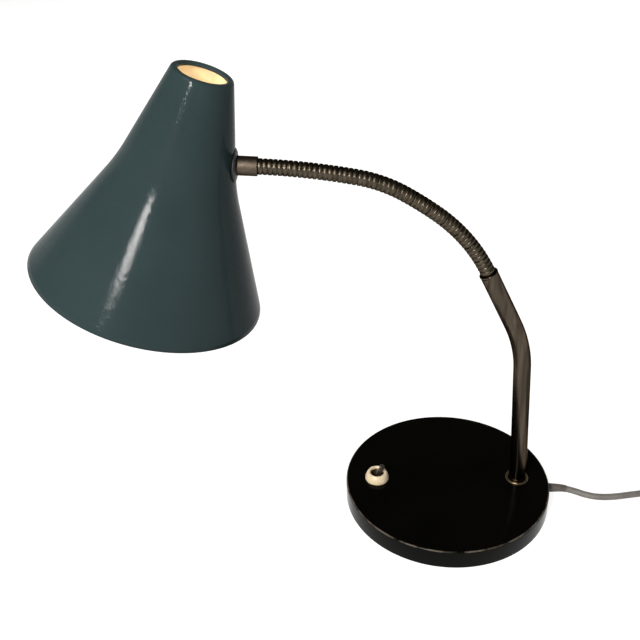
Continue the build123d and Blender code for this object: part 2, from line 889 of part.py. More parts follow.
# ---- Switch ----
def make_switch_bush():
    flange_foot = shell_top_inside - switch_flange_thickness
    top = base_height + switch_bush_rise
    flare = base_height + switch_flare_start
    centre = (switch_x, 0, 0)
    with BuildPart() as bush:
        with BuildSketch(turning_plane(centre, (0, 0, 1), Vector(1, 0, 0))):
            with BuildLine():
                Polyline(
                    (switch_bush_bore / 2, flange_foot),
                    (switch_flange_diameter / 2, flange_foot),
                    (switch_flange_diameter / 2, shell_top_inside),
                    (switch_bush_diameter / 2, shell_top_inside),
                    (switch_bush_diameter / 2, top),
                    (switch_bush_mouth / 2, top),
                    (switch_bush_bore / 2, flare),
                    close=True,
                )
            make_face()
        revolve(axis=Axis(centre, (0, 0, 1)))
        with BuildSketch(Plane.XZ):
            with Locations((switch_x, lever_pivot_height)):
                Circle(pivot_pin_diameter / 2 + pin_seat_gap)
        extrude(amount=switch_bush_diameter, both=True, mode=Mode.SUBTRACT)
    return bush


def make_switch_ring():
    """Moulded ring nut: a short upright band, a rounded crown and the hole for the lever."""
    centre = (switch_x, 0, 0)
    outer = ring_diameter / 2
    thread = switch_bush_diameter / 2 + fit_gap
    top = base_height + ring_height
    band = base_height + ring_band_height
    crest = ring_crest_diameter / 2
    hole = ring_hole / 2
    with BuildPart() as ring:
        with BuildSketch(turning_plane(centre, (0, 0, 1))):
            with BuildLine():
                Polyline((thread, top - ring_lip), (thread, base_height), (outer, base_height), (outer, band))
                TangentArc((outer, band), (crest, top), tangent=(-tan(radians(ring_side_lean)), 1))
                ThreePointArc((crest, top), ((crest + hole) / 2, top - ring_crown_drop), (hole, top - ring_hole_drop))
                Polyline((hole, top - ring_hole_drop), (hole, top - ring_lip), (thread, top - ring_lip))
            make_face()
        revolve(axis=Axis(centre, (0, 0, 1)))
    return ring


def make_switch_body():
    top = shell_top_inside - switch_flange_thickness
    tag_room = tag_thickness + 4 * fit_gap
    with BuildPart() as body:
        with BuildSketch(Plane.XY.offset(switch_body_foot)):
            with Locations((switch_x, 0)):
                Circle(switch_body_diameter / 2)
        extrude(amount=top - switch_body_foot)
        with BuildSketch(Plane.XY.offset(switch_cavity_floor)):
            with Locations((switch_x, 0)):
                Rectangle(*switch_cavity)
        extrude(amount=top - switch_cavity_floor, mode=Mode.SUBTRACT)
        with BuildSketch(Plane.XY.offset(switch_body_foot)):
            with Locations((switch_x, 0)):
                with GridLocations(switch_cavity[0] - terminal_width, 0, 2, 1):
                    Rectangle(tag_room, switch_cavity[1] / 2)
        extrude(amount=switch_cavity_floor - switch_body_foot, mode=Mode.SUBTRACT)
    return body


def make_switch_terminals():
    """Two brass blocks on the cavity's floor, each with a tag through the body's bottom."""
    height = bridge_foot - terminal_top_gap - switch_cavity_floor
    with BuildPart() as terminals:
        with BuildSketch(Plane.XY.offset(switch_cavity_floor)):
            with Locations((switch_x, 0)):
                with GridLocations(switch_cavity[0] - terminal_width, 0, 2, 1):
                    Rectangle(terminal_width - 4 * fit_gap, switch_cavity[1] - 4 * fit_gap)
        extrude(amount=height)
        with BuildSketch(Plane.XY.offset(switch_body_foot - tag_reach)):
            with Locations((switch_x, 0)):
                with GridLocations(switch_cavity[0] - terminal_width, 0, 2, 1):
                    Rectangle(tag_thickness, switch_cavity[1] / 2 - 4 * fit_gap)
        extrude(amount=switch_cavity_floor - switch_body_foot + tag_reach)
    return terminals


def make_contact_bridge():
    """Slotted bridge that the lever's tail pushes from one side to the other."""
    tail_drop = lever_pivot_height - bridge_foot - bridge_size[2] / 2
    rest_x = switch_x - tail_drop * tan(radians(lever_lean))
    with BuildPart() as bridge:
        with BuildSketch(Plane.XY.offset(bridge_foot)):
            with Locations((rest_x, 0)):
                Rectangle(bridge_size[0], bridge_size[1])
                Rectangle(*bridge_slot, mode=Mode.SUBTRACT)
        extrude(amount=bridge_size[2])
    return bridge


def make_toggle_lever():
    pivot = Vector(switch_x, 0, lever_pivot_height)
    along = heading_vector(-lever_lean)
    rod = lever_diameter / 2
    tail = lever_tail_diameter / 2
    ball = lever_ball_diameter / 2
    ball_top = sqrt(ball**2 - rod**2)
    ball_low = -sqrt(ball**2 - tail**2)
    tip = lever_length - lever_tip_radius
    with BuildPart() as lever:
        with BuildSketch(turning_plane(pivot, along, along.cross(Vector(0, 1, 0)))):
            with BuildLine():
                Polyline((0, -lever_tail_length), (tail, -lever_tail_length), (tail, ball_low))
                ThreePointArc((tail, ball_low), (ball, 0), (rod, ball_top))
                Line((rod, ball_top), (rod, tip))
                JernArc((rod, tip), (0, 1), lever_tip_radius, 90)
                Polyline((rod - lever_tip_radius, lever_length), (0, lever_length), (0, -lever_tail_length))
            make_face()
        revolve(axis=Axis(pivot, along))
        with BuildSketch(Plane.XZ):
            with Locations((switch_x, lever_pivot_height)):
                Circle(pivot_pin_diameter / 2 + pivot_fit)
        extrude(amount=lever_ball_diameter, both=True, mode=Mode.SUBTRACT)
    return lever


def make_lever_pin():
    with BuildPart() as pin:
        with BuildSketch(Plane.XZ):
            with Locations((switch_x, lever_pivot_height)):
                Circle(pivot_pin_diameter / 2)
        extrude(amount=pivot_pin_length / 2, both=True)
    return pin


# ---- Wires, cord and plug ----
def make_inner_wires():
    """The switch's two wires and the cord's wire, all led up into the stem's nipple."""
    floor = plate_top + wire_diameter / 2 + wire_floor_gap
    channel = (ballast_underside + web_underside) / 2 - wire_diameter
    body_side = switch_x + switch_body_diameter / 2 + fit_gap
    pocket_side = stem_foot_x - stem_pocket_diameter / 2
    nipple_end = (stem_foot_x, base_height - wire_top_drop)
    with BuildPart() as wires:
        for side in (-wire_spread, wire_spread):
            with BuildLine() as path:
                FilletPolyline(
                    (body_side, side, channel),
                    (pocket_side, side, channel),
                    (pocket_side + wire_entry_run, side, floor),
                    (nipple_end[0], side, floor),
                    (nipple_end[0], side, nipple_end[1]),
                    radius=wire_bend_radius,
                )
            with BuildSketch(Plane(origin=(body_side, side, channel), z_dir=(1, 0, 0))):
                Circle(wire_diameter / 2)
            sweep(path=path.wires()[0])
        start = cord_route[0].X - fit_gap
        low = cord_height - cord_radius + wire_diameter / 2 + fit_gap
        with BuildLine() as path:
            FilletPolyline(
                (start, 0, low),
                (start - cord_wire_lead_in, 0, low),
                (start - cord_wire_lead_in - cord_wire_slope_run, 0, floor),
                (nipple_end[0], 0, floor),
                (nipple_end[0], 0, nipple_end[1]),
                radius=wire_bend_radius / 2,
            )
        with BuildSketch(Plane(origin=(start, 0, low), z_dir=(-1, 0, 0))):
            Circle(wire_diameter / 2)
        sweep(path=path.wires()[0])
    return wires


def draw_cord_line():
    """The cord's centre line: straight runs joined by tangent arcs as large as the runs allow."""
    radii = []
    for before, corner, after in zip(cord_route, cord_route[1:], cord_route[2:]):
        turn = radians((corner - before).get_angle(after - corner))
        shorter = min((corner - before).length, (after - corner).length)
        radii.append(cord_arc_share * shorter / tan(turn / 2))
    with BuildLine() as path:
        FilletPolyline(*cord_route, radius=radii)
    print("cord radii", [round(radius, 1) for radius in radii])
    return path.wires()[0]


cord_line = draw_cord_line()


def make_cord_grommet():
    """Rubber bush in the base's wall, with a tapered strain relief that follows the cord outside."""
    inner_face = sqrt((base_radius - shell_wall) ** 2 - (grommet_flange_diameter / 2) ** 2) - fit_gap
    centre = (0, 0, cord_height)
    bore = cord_radius + fit_gap
    flange = grommet_flange_diameter / 2
    inner_radius = grommet_inner_flange_diameter / 2
    groove = grommet_groove_diameter / 2
    outer_face = base_radius + fit_gap
    inner_flange = inner_face - grommet_flange_thickness
    with BuildPart() as grommet:
        with BuildSketch(turning_plane(centre, (1, 0, 0))):
            with BuildLine():
                Polyline(
                    (bore, inner_flange - grommet_tail_length),
                    (grommet_tail_diameter / 2, inner_flange - grommet_tail_length),
                    (groove, inner_flange),
                    (inner_radius, inner_flange),
                    (inner_radius, inner_face),
                    (groove, inner_face),
                    (groove, outer_face),
                    (flange, outer_face),
                    (flange - grommet_flange_bevel, outer_face + grommet_flange_thickness),
                    (bore, outer_face + grommet_flange_thickness),
                    close=True,
                )
            make_face()
        revolve(axis=Axis(centre, (1, 0, 0)))
        relief_start = outer_face + relief_offset - cord_route[0].X
        for share in range(relief_sections + 1):
            along = share / relief_sections
            spot = cord_line.location_at(relief_start + relief_length * along, position_mode=PositionMode.LENGTH)
            with BuildSketch(Plane(spot)):
                Circle((relief_root_diameter + (relief_tip_diameter - relief_root_diameter) * along) / 2)
        loft()
        with BuildSketch(Plane(origin=cord_line @ 0, z_dir=cord_line % 0)):
            Circle(bore)
        sweep(path=cord_line, mode=Mode.SUBTRACT)
    return grommet


def make_cord_clamp():
    """Thin strap under the cord, screwed to the ballast on both sides."""
    dip = cord_height - cord_radius - clamp_slack
    flat = ballast_underside
    half = clamp_span / 2
    knee = cord_radius + clamp_side_gap
    root = knee + clamp_flank
    with BuildPart() as clamp:
        with BuildSketch(Plane.YZ.offset(clamp_x - clamp_width / 2)):
            with BuildLine():
                Polyline(
                    (-half, flat),
                    (-root, flat),
                    (-knee, dip),
                    (knee, dip),
                    (root, flat),
                    (half, flat),
                    (half, flat - clamp_thickness),
                    (root, flat - clamp_thickness),
                    (knee, dip - clamp_thickness),
                    (-knee, dip - clamp_thickness),
                    (-root, flat - clamp_thickness),
                    (-half, flat - clamp_thickness),
                    close=True,
                )
            make_face()
        extrude(amount=clamp_width)
        with BuildSketch(Plane.XY):
            with Locations((clamp_x, clamp_screw_spread / 2), (clamp_x, -clamp_screw_spread / 2)):
                Circle(clamp_screw_diameter / 2 + fit_gap)
        extrude(amount=base_height, mode=Mode.SUBTRACT)
    return clamp


def make_clamp_screws():
    seat = ballast_underside - clamp_thickness
    places = ((clamp_x, clamp_screw_spread / 2), (clamp_x, -clamp_screw_spread / 2))
    with BuildPart() as screws:
        with BuildSketch(Plane.XY.offset(seat - clamp_screw_head_height)):
            with Locations(*places):
                Circle(clamp_screw_head_diameter / 2)
        extrude(amount=clamp_screw_head_height)
        with BuildSketch(Plane.XY.offset(seat)):
            with Locations(*places):
                Circle(clamp_screw_diameter / 2)
        extrude(amount=clamp_thickness + clamp_screw_length)
    return screws


def make_mains_cord():
    """The cord from the clamp to the coil."""
    with BuildPart() as cord:
        with BuildSketch(Plane(origin=cord_line @ 0, z_dir=cord_line % 0)):
            Circle(cord_radius)
        sweep(path=cord_line)
    expected = pi * cord_radius**2 * cord_line.length
    print("cord length", round(cord_line.length, 1), "volume ratio", round(cord.part.volume / expected, 4))
    return cord


def make_cord_coil():
    with BuildPart() as coil:
        with BuildSketch(Plane.XY.offset(cord_rest - cord_radius)):
            with Locations(coil_centre):
                Circle(coil_outer_radius)
                Circle(coil_inner_radius, mode=Mode.SUBTRACT)
        extrude(amount=coil_layers * cord_diameter)
        chamfer(coil.edges().filter_by(GeomType.CIRCLE), cord_radius / 2)
    return coil


plug_axis_y = coil_centre[1] + coil_outer_line
plug_axis_z = cord_rest + cord_diameter
coil_leave_x = coil_centre[0] + sqrt(coil_outer_radius**2 - coil_outer_line**2)
plug_tail_x = coil_leave_x + plug_gap


def make_plug_lead():
    """Short stretch of cord between the coil's top layer and the plug."""
    with BuildPart() as lead:
        with BuildSketch(Plane.YZ.offset(coil_leave_x)):
            with Locations((plug_axis_y, plug_axis_z)):
                Circle(cord_radius)
        extrude(amount=plug_gap)
    return lead


def make_plug_body():
    """Flat moulded plug with a tapered strain relief."""
    body_x = plug_tail_x + plug_tail_length
    with BuildPart() as plug:
        with BuildSketch(Plane.YZ.offset(plug_tail_x)):
            with Locations((plug_axis_y, plug_axis_z)):
                Circle(cord_radius + plug_tail_wall)
        with BuildSketch(Plane.YZ.offset(body_x)):
            with Locations((plug_axis_y, plug_axis_z)):
                Circle(plug_tail_diameter / 2)
        loft()
        with BuildSketch(Plane.XY.offset(plug_axis_z - plug_thickness / 2)):
            with BuildLine():
                Polyline(
                    (body_x, plug_axis_y - plug_tail_width / 2),
                    (body_x + plug_flare_length, plug_axis_y - plug_width / 2),
                    (body_x + plug_body_length, plug_axis_y - plug_width / 2),
                    (body_x + plug_body_length, plug_axis_y + plug_width / 2),
                    (body_x + plug_flare_length, plug_axis_y + plug_width / 2),
                    (body_x, plug_axis_y + plug_tail_width / 2),
                    close=True,
                )
            make_face()
        extrude(amount=plug_thickness)
        fillet(plug.edges().filter_by(Axis.Z), plug_edge_radius)
        with BuildSketch(Plane.YZ.offset(body_x + plug_body_length - pin_sink)):
            with Locations((plug_axis_y, plug_axis_z)):
                with GridLocations(pin_spacing, 0, 2, 1):
                    Circle(pin_diameter / 2 + fit_gap)
        extrude(amount=pin_sink, mode=Mode.SUBTRACT)
    return plug


def make_plug_pins():
    start = plug_tail_x + plug_tail_length + plug_body_length - pin_sink
    with BuildPart() as pins:
        with BuildSketch(Plane.YZ.offset(start)):
            with Locations((plug_axis_y, plug_axis_z)):
                with GridLocations(pin_spacing, 0, 2, 1):
                    Circle(pin_diameter / 2)
        extrude(amount=pin_sink + pin_length)
        tips = pins.faces().sort_by(Axis.X)[-2:]
        fillet(tips.edges(), pin_tip_radius)
    return pins


os.makedirs("parts", exist_ok=True)

save(make_base_shell(), "base_shell")
save(make_ballast(), "ballast")
save(make_bottom_plate(), "bottom_plate")
save(make_felt_pad(), "felt_pad")
save(make_plate_screws(), "plate_screws")

save(make_stem_tube(), "stem_tube")
save(make_stem_collar(), "stem_collar")
save(make_stem_nipple(), "stem_nipple")
save(make_stem_washer(), "stem_washer")
nut_seat = web_underside - stem_washer_thickness - nut_height
save(make_nut(Plane.XY.offset(nut_seat).move(Location((stem_foot_x, 0, 0))), nut_height), "stem_nut")
save(make_stem_lead(), "stem_lead")
save(make_neck_socket(), "neck_socket")

for number in range(link_count):
    axial = heading_vector(link_headings[number])
    link = make_neck_link(link_feet[number], axial, number == link_count - 1)
    save(link, f"neck_link_{number + 1:02d}")
save(make_neck_sleeve(), "neck_sleeve")

save(make_shade(), "shade")
save(make_saddle_washer(), "saddle_washer")
save(make_shade_nipple(), "shade_nipple")
save(make_bracket(), "holder_bracket")
save(make_inner_washer(), "inner_washer")
save(make_shade_nut(), "shade_nut")
save(make_holder_nipple(), "holder_nipple")
save(make_holder_nut(), "holder_nut")
save(make_holder_cap(), "holder_cap")
save(make_holder_skirt(), "holder_skirt")
save(make_holder_insert(), "holder_insert")
save(make_screw_shell(), "screw_shell")
save(make_centre_contact(), "centre_contact")
save(make_bulb_cap(), "bulb_cap")
save(make_bulb_glass(), "bulb_glass")
save(make_holder_lead(), "holder_lead")

save(make_switch_bush(), "switch_bush")
save(make_switch_ring(), "switch_ring")
save(make_switch_body(), "switch_body")
save(make_switch_terminals(), "switch_terminals")
save(make_contact_bridge(), "contact_bridge")
save(make_toggle_lever(), "toggle_lever")
save(make_lever_pin(), "lever_pin")

save(make_inner_wires(), "inner_wires")
save(make_cord_grommet(), "cord_grommet")
save(make_cord_clamp(), "cord_clamp")
save(make_clamp_screws(), "clamp_screws")
save(make_mains_cord(), "mains_cord")
save(make_cord_coil(), "cord_coil")
save(make_plug_lead(), "plug_lead")
save(make_plug_body(), "plug_body")
save(make_plug_pins(), "plug_pins")
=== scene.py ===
"""Looks of the gooseneck desk lamp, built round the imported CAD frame."""

import json
import math

import bpy
from mathutils import Matrix, Vector


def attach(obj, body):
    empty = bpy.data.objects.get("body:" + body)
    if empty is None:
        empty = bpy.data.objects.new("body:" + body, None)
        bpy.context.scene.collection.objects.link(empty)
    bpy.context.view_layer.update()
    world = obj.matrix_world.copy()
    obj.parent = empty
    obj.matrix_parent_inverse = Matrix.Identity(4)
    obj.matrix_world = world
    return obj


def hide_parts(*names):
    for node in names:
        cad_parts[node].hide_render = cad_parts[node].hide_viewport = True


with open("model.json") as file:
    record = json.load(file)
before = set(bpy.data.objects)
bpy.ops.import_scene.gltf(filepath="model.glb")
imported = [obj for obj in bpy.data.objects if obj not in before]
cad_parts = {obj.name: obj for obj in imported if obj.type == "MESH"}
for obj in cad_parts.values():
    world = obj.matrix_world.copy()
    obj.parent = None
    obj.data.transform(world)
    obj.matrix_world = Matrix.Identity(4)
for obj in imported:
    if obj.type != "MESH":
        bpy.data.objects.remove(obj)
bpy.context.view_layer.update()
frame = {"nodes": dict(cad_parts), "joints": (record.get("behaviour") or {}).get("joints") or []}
nodes = frame["nodes"]
scene = bpy.context.scene

# ---- Sizes, in millimetres and degrees, most of them the CAD's ----
UP = Vector((0, 0, 1))
SIDE = Vector((0, 1, 0))
FIT_GAP = 0.05
SEAT_GAP = 0.02

BASE_RADIUS = 75.0
BASE_HEIGHT = 15.0
SHELL_WALL = 1.5
SHELL_EDGE_RADIUS = 1.6
SHELL_RIM_LIFT = 0.4
COLLAR_RADIUS = 8.3
COLLAR_HEIGHT = 1.4

STEM_X = 52.0
STEM_RADIUS = 6.0
STEM_BORE_RADIUS = 5.0
STEM_FOOT_LENGTH = 12.0
STEM_RAKE = 3.5
STEM_RAKE_RADIUS = 120.0
STEM_SHANK_LENGTH = 80.0
STEM_BEND = 22.7
STEM_BEND_RADIUS = 95.0
STEM_TOP_LENGTH = 42.8
STEM_RUNS = (  # length and turn of each run of the stem's centre line, from its foot
    (STEM_FOOT_LENGTH, 0.0),
    (math.radians(STEM_RAKE) * STEM_RAKE_RADIUS, STEM_RAKE),
    (STEM_SHANK_LENGTH, 0.0),
    (math.radians(STEM_BEND) * STEM_BEND_RADIUS, STEM_BEND),
    (STEM_TOP_LENGTH, 0.0),
)
STEM_LIP = (  # distance from the stem's top and radius, up over the lip and down the bore
    (1.6, STEM_RADIUS), (1.2, 6.12), (0.9, 6.28), (0.45, 6.3), (0.1, 6.2),
    (0.0, STEM_RADIUS), (0.0, 5.4), (0.1, 5.1), (1.5, STEM_BORE_RADIUS), (6.0, STEM_BORE_RADIUS),
)

NECK_COURSE = ((55.0, 27.3), (23.5, 5.5), (32.0, 19.8), (60.5, 7.6))  # length and turn of each run
RIB_PITCH = 3.054
RIBS_PER_LINK = 4
LINK = RIBS_PER_LINK * RIB_PITCH
LINKS = 14
RINGS_PER_RIB = 10
GROOVE_RADIUS = 4.3
RIB_RISE = 0.75
RIB_ROUNDNESS = 0.3
LINK_END_RADIUS = 4.2
BAND_RADIUS = 4.25
BAND_REACH = 1.8
SLEEVE_RADIUS = 6.0
SLEEVE_LENGTH = 12.5

SHADE_TOP_RADIUS = 18.55
SHADE_MOUTH_RADIUS = 14.85
SHADE_LENGTH = 145.0
SHADE_WALL = 0.8
SHADE_LIP_DEPTH = 2.4
SHADE_LIP_RADIUS = 1.2
SHADE_CORNER_RADIUS = 2.6
UPPER_ANGLE = 16.3
LOWER_ANGLE = 26.0
WAIST_DEPTH = 65.9
WAIST_RADIUS = 144.0
FIXING_DEPTH = 48.4
SADDLE_RADIUS = 10.5
SADDLE_GAP = 0.3

HOLDER_TOP = 38.97  # depth below the shade's top edge
HOLDER_RADIUS = 19.0
HOLDER_BORE = 16.8
HOLDER_THREAD_HOLE = 5.2
CAP_HEIGHT = 18.5
SKIRT_HEIGHT = 30.0
SKIRT_BORE = 14.1
GRIP_RADIUS = 18.5
SCREW_SHELL_HEIGHT = 22.0
BULB_CAP_HEIGHT = 22.5
BULB_RADIUS = 22.5
BULB_NECK_RADIUS = 12.0
BULB_NECK_HEIGHT = 10.0

SWITCH_X = -52.0
RING_BORE = 6.2
RING_HOLE = 4.9
LEVER_PIVOT_HEIGHT = 14.0
LEVER_LEAN = 18.0
LEVER_BALL = 2.9

CORD = 4.7
CORD_REST = 2.4
CORD_ROUTE = (
    (75.0, -0.1, 5.7),
    (78.5, -0.2, 5.6),
    (87.0, 0.9, 4.4),
    (95.5, -0.9, 3.1),
    (104.0, -4.8, CORD_REST),
    (113.0, -7.0, CORD_REST),
    (124.0, -6.6, CORD_REST),
    (136.0, -4.3, CORD_REST),
    (148.0, -2.3, CORD_REST),
    (160.0, -1.4, CORD_REST),
    (170.0, -1.5, CORD_REST),
)
PLUG_LEAD = ((193.5, -1.83, 7.1), (204.0, -1.83, 7.1))
COIL_CENTRE = (184.0, -41.0)
COIL_OUTER_LINE = 39.175  # radius of the outermost turn's centre line
COIL_TURNS = 9.0
COIL_POINTS = 14  # in each turn


# ---- Camera, fitted to the photo ----
def make_camera():
    data = bpy.data.cameras.new("camera")
    data.sensor_width = 36.0
    data.lens = 49.08
    data.clip_start = 0.01
    data.dof.use_dof = False
    camera = bpy.data.objects.new("camera", data)
    scene.collection.objects.link(camera)
    right = Vector((0.99910, 0.03270, -0.02702))
    up = Vector((0.00604, 0.52082, 0.85365))
    forward = Vector((-0.04198, 0.85304, -0.52015))
    turn = Matrix((right, up, -forward)).transposed().to_4x4()
    turn.translation = Vector((-0.066568, -0.499000, 0.458264))
    camera.matrix_world = turn
    scene.camera = camera


make_camera()
scene.view_settings.view_transform = "Standard"


# ---- Shader helpers ----
def new_material(name):
    material = bpy.data.materials.new(name)
    material.use_nodes = True
    tree = material.node_tree
    tree.nodes.clear()
    output = tree.nodes.new("ShaderNodeOutputMaterial")
    return material, tree, output


def add(tree, kind, **values):
    """Adds a node; values name its properties or its input sockets."""
    node = tree.nodes.new(kind)
    for key, value in values.items():
        if hasattr(node, key):
            setattr(node, key, value)
        else:
            node.inputs[key].default_value = value
    return node


def noise(tree, scale, detail=4.0, stretch=None):
    """Noise in the object's own metres, optionally stretched along an axis."""
    place_node = add(tree, "ShaderNodeTexCoord")
    texture = add(tree, "ShaderNodeTexNoise", Scale=scale, Detail=detail, Roughness=0.55)
    if stretch is None:
        tree.links.new(place_node.outputs["Object"], texture.inputs["Vector"])
    else:
        mapping = add(tree, "ShaderNodeMapping", Scale=stretch)
        tree.links.new(place_node.outputs["Object"], mapping.inputs["Vector"])
        tree.links.new(mapping.outputs["Vector"], texture.inputs["Vector"])
    return texture.outputs["Fac"]


def ramp(tree, value, stops):
    """Colours by value, from stops of (position, colour)."""
    node = tree.nodes.new("ShaderNodeValToRGB")
    elements = node.color_ramp.elements
    while len(elements) < len(stops):
        elements.new(0.5)
    for element, (position, colour) in zip(elements, stops):
        element.position = position
        element.color = (*colour, 1.0)
    tree.links.new(value, node.inputs["Fac"])
    return node.outputs["Color"]


def grey(tree, value, low, high, start=0.3, end=0.7):
    """Maps a value between start and end to low and high."""
    node = add(tree, "ShaderNodeMapRange")
    node.inputs["From Min"].default_value = start
    node.inputs["From Max"].default_value = end
    node.inputs["To Min"].default_value = low
    node.inputs["To Max"].default_value = high
    tree.links.new(value, node.inputs["Value"])
    return node.outputs["Result"]


def bump(tree, height, strength, distance):
    node = add(tree, "ShaderNodeBump", Strength=strength, Distance=distance)
    tree.links.new(height, node.inputs["Height"])
    return node.outputs["Normal"]


def combine(tree, operation, first, second):
    """The result of a maths node on two values."""
    node = add(tree, "ShaderNodeMath", operation=operation)
    tree.links.new(first, node.inputs[0])
    tree.links.new(second, node.inputs[1])
    return node.outputs[0]


def surface(name, colours, rough, *, scale, bump_scale, bump_strength, bump_distance, metallic=0.0,
            stretch=None, coat=0.0, coat_rough=0.05, specular=0.5, edge=1.0):
    """A material whose colour and roughness wander with noise, over a fine bump; edge tints its rim."""
    material, tree, output = new_material(name)
    shader = add(tree, "ShaderNodeBsdfPrincipled")
    shader.inputs["Metallic"].default_value = metallic
    shader.inputs["Coat Weight"].default_value = coat
    shader.inputs["Coat Roughness"].default_value = coat_rough
    shader.inputs["Specular IOR Level"].default_value = specular
    shader.inputs["Specular Tint"].default_value = (edge, edge, edge, 1.0)
    colour = ramp(tree, noise(tree, scale, stretch=stretch), colours)
    tree.links.new(colour, shader.inputs["Base Color"])
    roughness = grey(tree, noise(tree, scale * 2.3, stretch=stretch), *rough)
    tree.links.new(roughness, shader.inputs["Roughness"])
    fine = noise(tree, bump_scale, detail=6.0, stretch=stretch)
    grain = bump(tree, fine, bump_strength, bump_distance)
    tree.links.new(grain, shader.inputs["Normal"])
    if coat:
        tree.links.new(grain, shader.inputs["Coat Normal"])
    tree.links.new(shader.outputs["BSDF"], output.inputs["Surface"])
    return material


def lighten_rim_patches(material, radius, height):
    """Mixes a pale brown into the enamel in patches along a rounded rim, in its outermost and topmost
    millimetre.
    """
    mix_factor, mix_first, mix_second, mix_result = 0, 6, 7, 2  # sockets of a node that mixes colours
    tree = material.node_tree
    shader = next(node for node in tree.nodes if node.type == "BSDF_PRINCIPLED")
    enamel = shader.inputs["Base Color"].links[0].from_socket
    place_node = add(tree, "ShaderNodeTexCoord")
    flat = add(tree, "ShaderNodeVectorMath", operation="MULTIPLY")
    flat.inputs[1].default_value = (1.0, 1.0, 0.0)
    out = add(tree, "ShaderNodeVectorMath", operation="LENGTH")
    split = tree.nodes.new("ShaderNodeSeparateXYZ")
    tree.links.new(place_node.outputs["Object"], flat.inputs[0])
    tree.links.new(flat.outputs["Vector"], out.inputs[0])
    tree.links.new(place_node.outputs["Object"], split.inputs[0])
    outermost = grey(tree, out.outputs["Value"], 0.0, 1.0, radius - 0.0011, radius - 0.0006)
    topmost = grey(tree, split.outputs["Z"], 0.0, 1.0, height - 0.0010, height - 0.0006)
    patches = grey(tree, noise(tree, 70.0), 0.0, 1.0, 0.38, 0.56)
    band = combine(tree, "MULTIPLY", combine(tree, "MULTIPLY", outermost, topmost), patches)
    mix = add(tree, "ShaderNodeMix", data_type="RGBA")
    mix.inputs[mix_second].default_value = (0.11, 0.095, 0.075, 1.0)
    tree.links.new(band, mix.inputs[mix_factor])
    tree.links.new(enamel, mix.inputs[mix_first])
    tree.links.new(mix.outputs[mix_result], shader.inputs["Base Color"])


# ---- Materials: colours by noise level, then the range of roughness ----
teal = surface(
    "teal_enamel", [(0.3, (0.0235, 0.038, 0.040)), (0.7, (0.0285, 0.0465, 0.049))], (0.22, 0.32),
    scale=14.0, bump_scale=420.0, bump_strength=0.5, bump_distance=0.0002, coat=0.11, coat_rough=0.03,
    specular=0.01)
cream = surface(
    "cream_enamel", [(0.25, (0.58, 0.42, 0.22)), (0.6, (0.82, 0.64, 0.38)), (0.8, (0.86, 0.70, 0.46))],
    (0.35, 0.55), scale=45.0, bump_scale=220.0, bump_strength=0.25, bump_distance=0.0003)
black = surface(
    "black_enamel", [(0.3, (0.0010, 0.0010, 0.0008)), (0.7, (0.0020, 0.0018, 0.0014))], (0.10, 0.20),
    scale=18.0, bump_scale=70.0, bump_strength=0.06, bump_distance=0.0003, specular=0.06)
# Pale brown patches along the base's rounded top edge, lighter than the black enamel.
lighten_rim_patches(black, BASE_RADIUS / 1000.0, BASE_HEIGHT / 1000.0)
stem_metal = surface(
    "stem_chrome",
    [(0.3, (0.045, 0.036, 0.027)), (0.55, (0.085, 0.068, 0.051)), (0.75, (0.13, 0.104, 0.078))],
    (0.18, 0.28), scale=300.0, stretch=(1.0, 1.0, 0.04), bump_scale=600.0, bump_strength=0.06,
    bump_distance=0.00005, metallic=1.0, edge=0.25)
neck_metal = surface(
    "neck_chrome",
    [(0.3, (0.050, 0.041, 0.029)), (0.5, (0.080, 0.066, 0.047)), (0.75, (0.11, 0.091, 0.067))],
    (0.30, 0.42), scale=260.0, bump_scale=900.0, bump_strength=0.06, bump_distance=0.00005,
    metallic=1.0, edge=0.25)
nickel = surface(
    "worn_nickel",
    [(0.3, (0.085, 0.067, 0.050)), (0.55, (0.115, 0.092, 0.070)), (0.75, (0.145, 0.117, 0.091))],
    (0.44, 0.54), scale=240.0, bump_scale=800.0, bump_strength=0.05, bump_distance=0.00005,
    metallic=1.0, edge=0.25)
bright_ring = surface(
    "worn_brass_ring", [(0.3, (0.30, 0.22, 0.13)), (0.7, (0.46, 0.36, 0.23))], (0.24, 0.36),
    scale=240.0, bump_scale=800.0, bump_strength=0.05, bump_distance=0.00005, metallic=1.0, edge=0.5)
rubber = surface(
    "black_rubber", [(0.3, (0.010, 0.010, 0.011)), (0.7, (0.020, 0.019, 0.019))], (0.45, 0.65),
    scale=200.0, bump_scale=1500.0, bump_strength=0.3, bump_distance=0.00005)
brass = surface(
    "dull_brass", [(0.3, (0.42, 0.27, 0.10)), (0.7, (0.62, 0.45, 0.20))], (0.22, 0.42),
    scale=260.0, bump_scale=1200.0, bump_strength=0.2, bump_distance=0.00005, metallic=1.0)
plated = surface(
    "plated_steel", [(0.3, (0.34, 0.32, 0.29)), (0.7, (0.52, 0.50, 0.46))], (0.28, 0.48),
    scale=240.0, bump_scale=1200.0, bump_strength=0.25, bump_distance=0.00006, metallic=1.0)
iron = surface(
    "cast_iron", [(0.3, (0.05, 0.045, 0.04)), (0.7, (0.10, 0.09, 0.085))], (0.6, 0.85),
    scale=150.0, bump_scale=500.0, bump_strength=0.7, bump_distance=0.0003, metallic=0.6)
felt = surface(
    "green_felt", [(0.3, (0.018, 0.045, 0.022)), (0.7, (0.035, 0.080, 0.040))], (0.9, 1.0),
    scale=500.0, bump_scale=2500.0, bump_strength=0.9, bump_distance=0.0003)
ivory = surface(
    "cream_bakelite", [(0.25, (0.60, 0.47, 0.29)), (0.6, (0.74, 0.62, 0.41)), (0.85, (0.80, 0.70, 0.50))],
    (0.22, 0.36), scale=170.0, bump_scale=500.0, bump_strength=0.12, bump_distance=0.0001, coat=0.4,
    coat_rough=0.15)
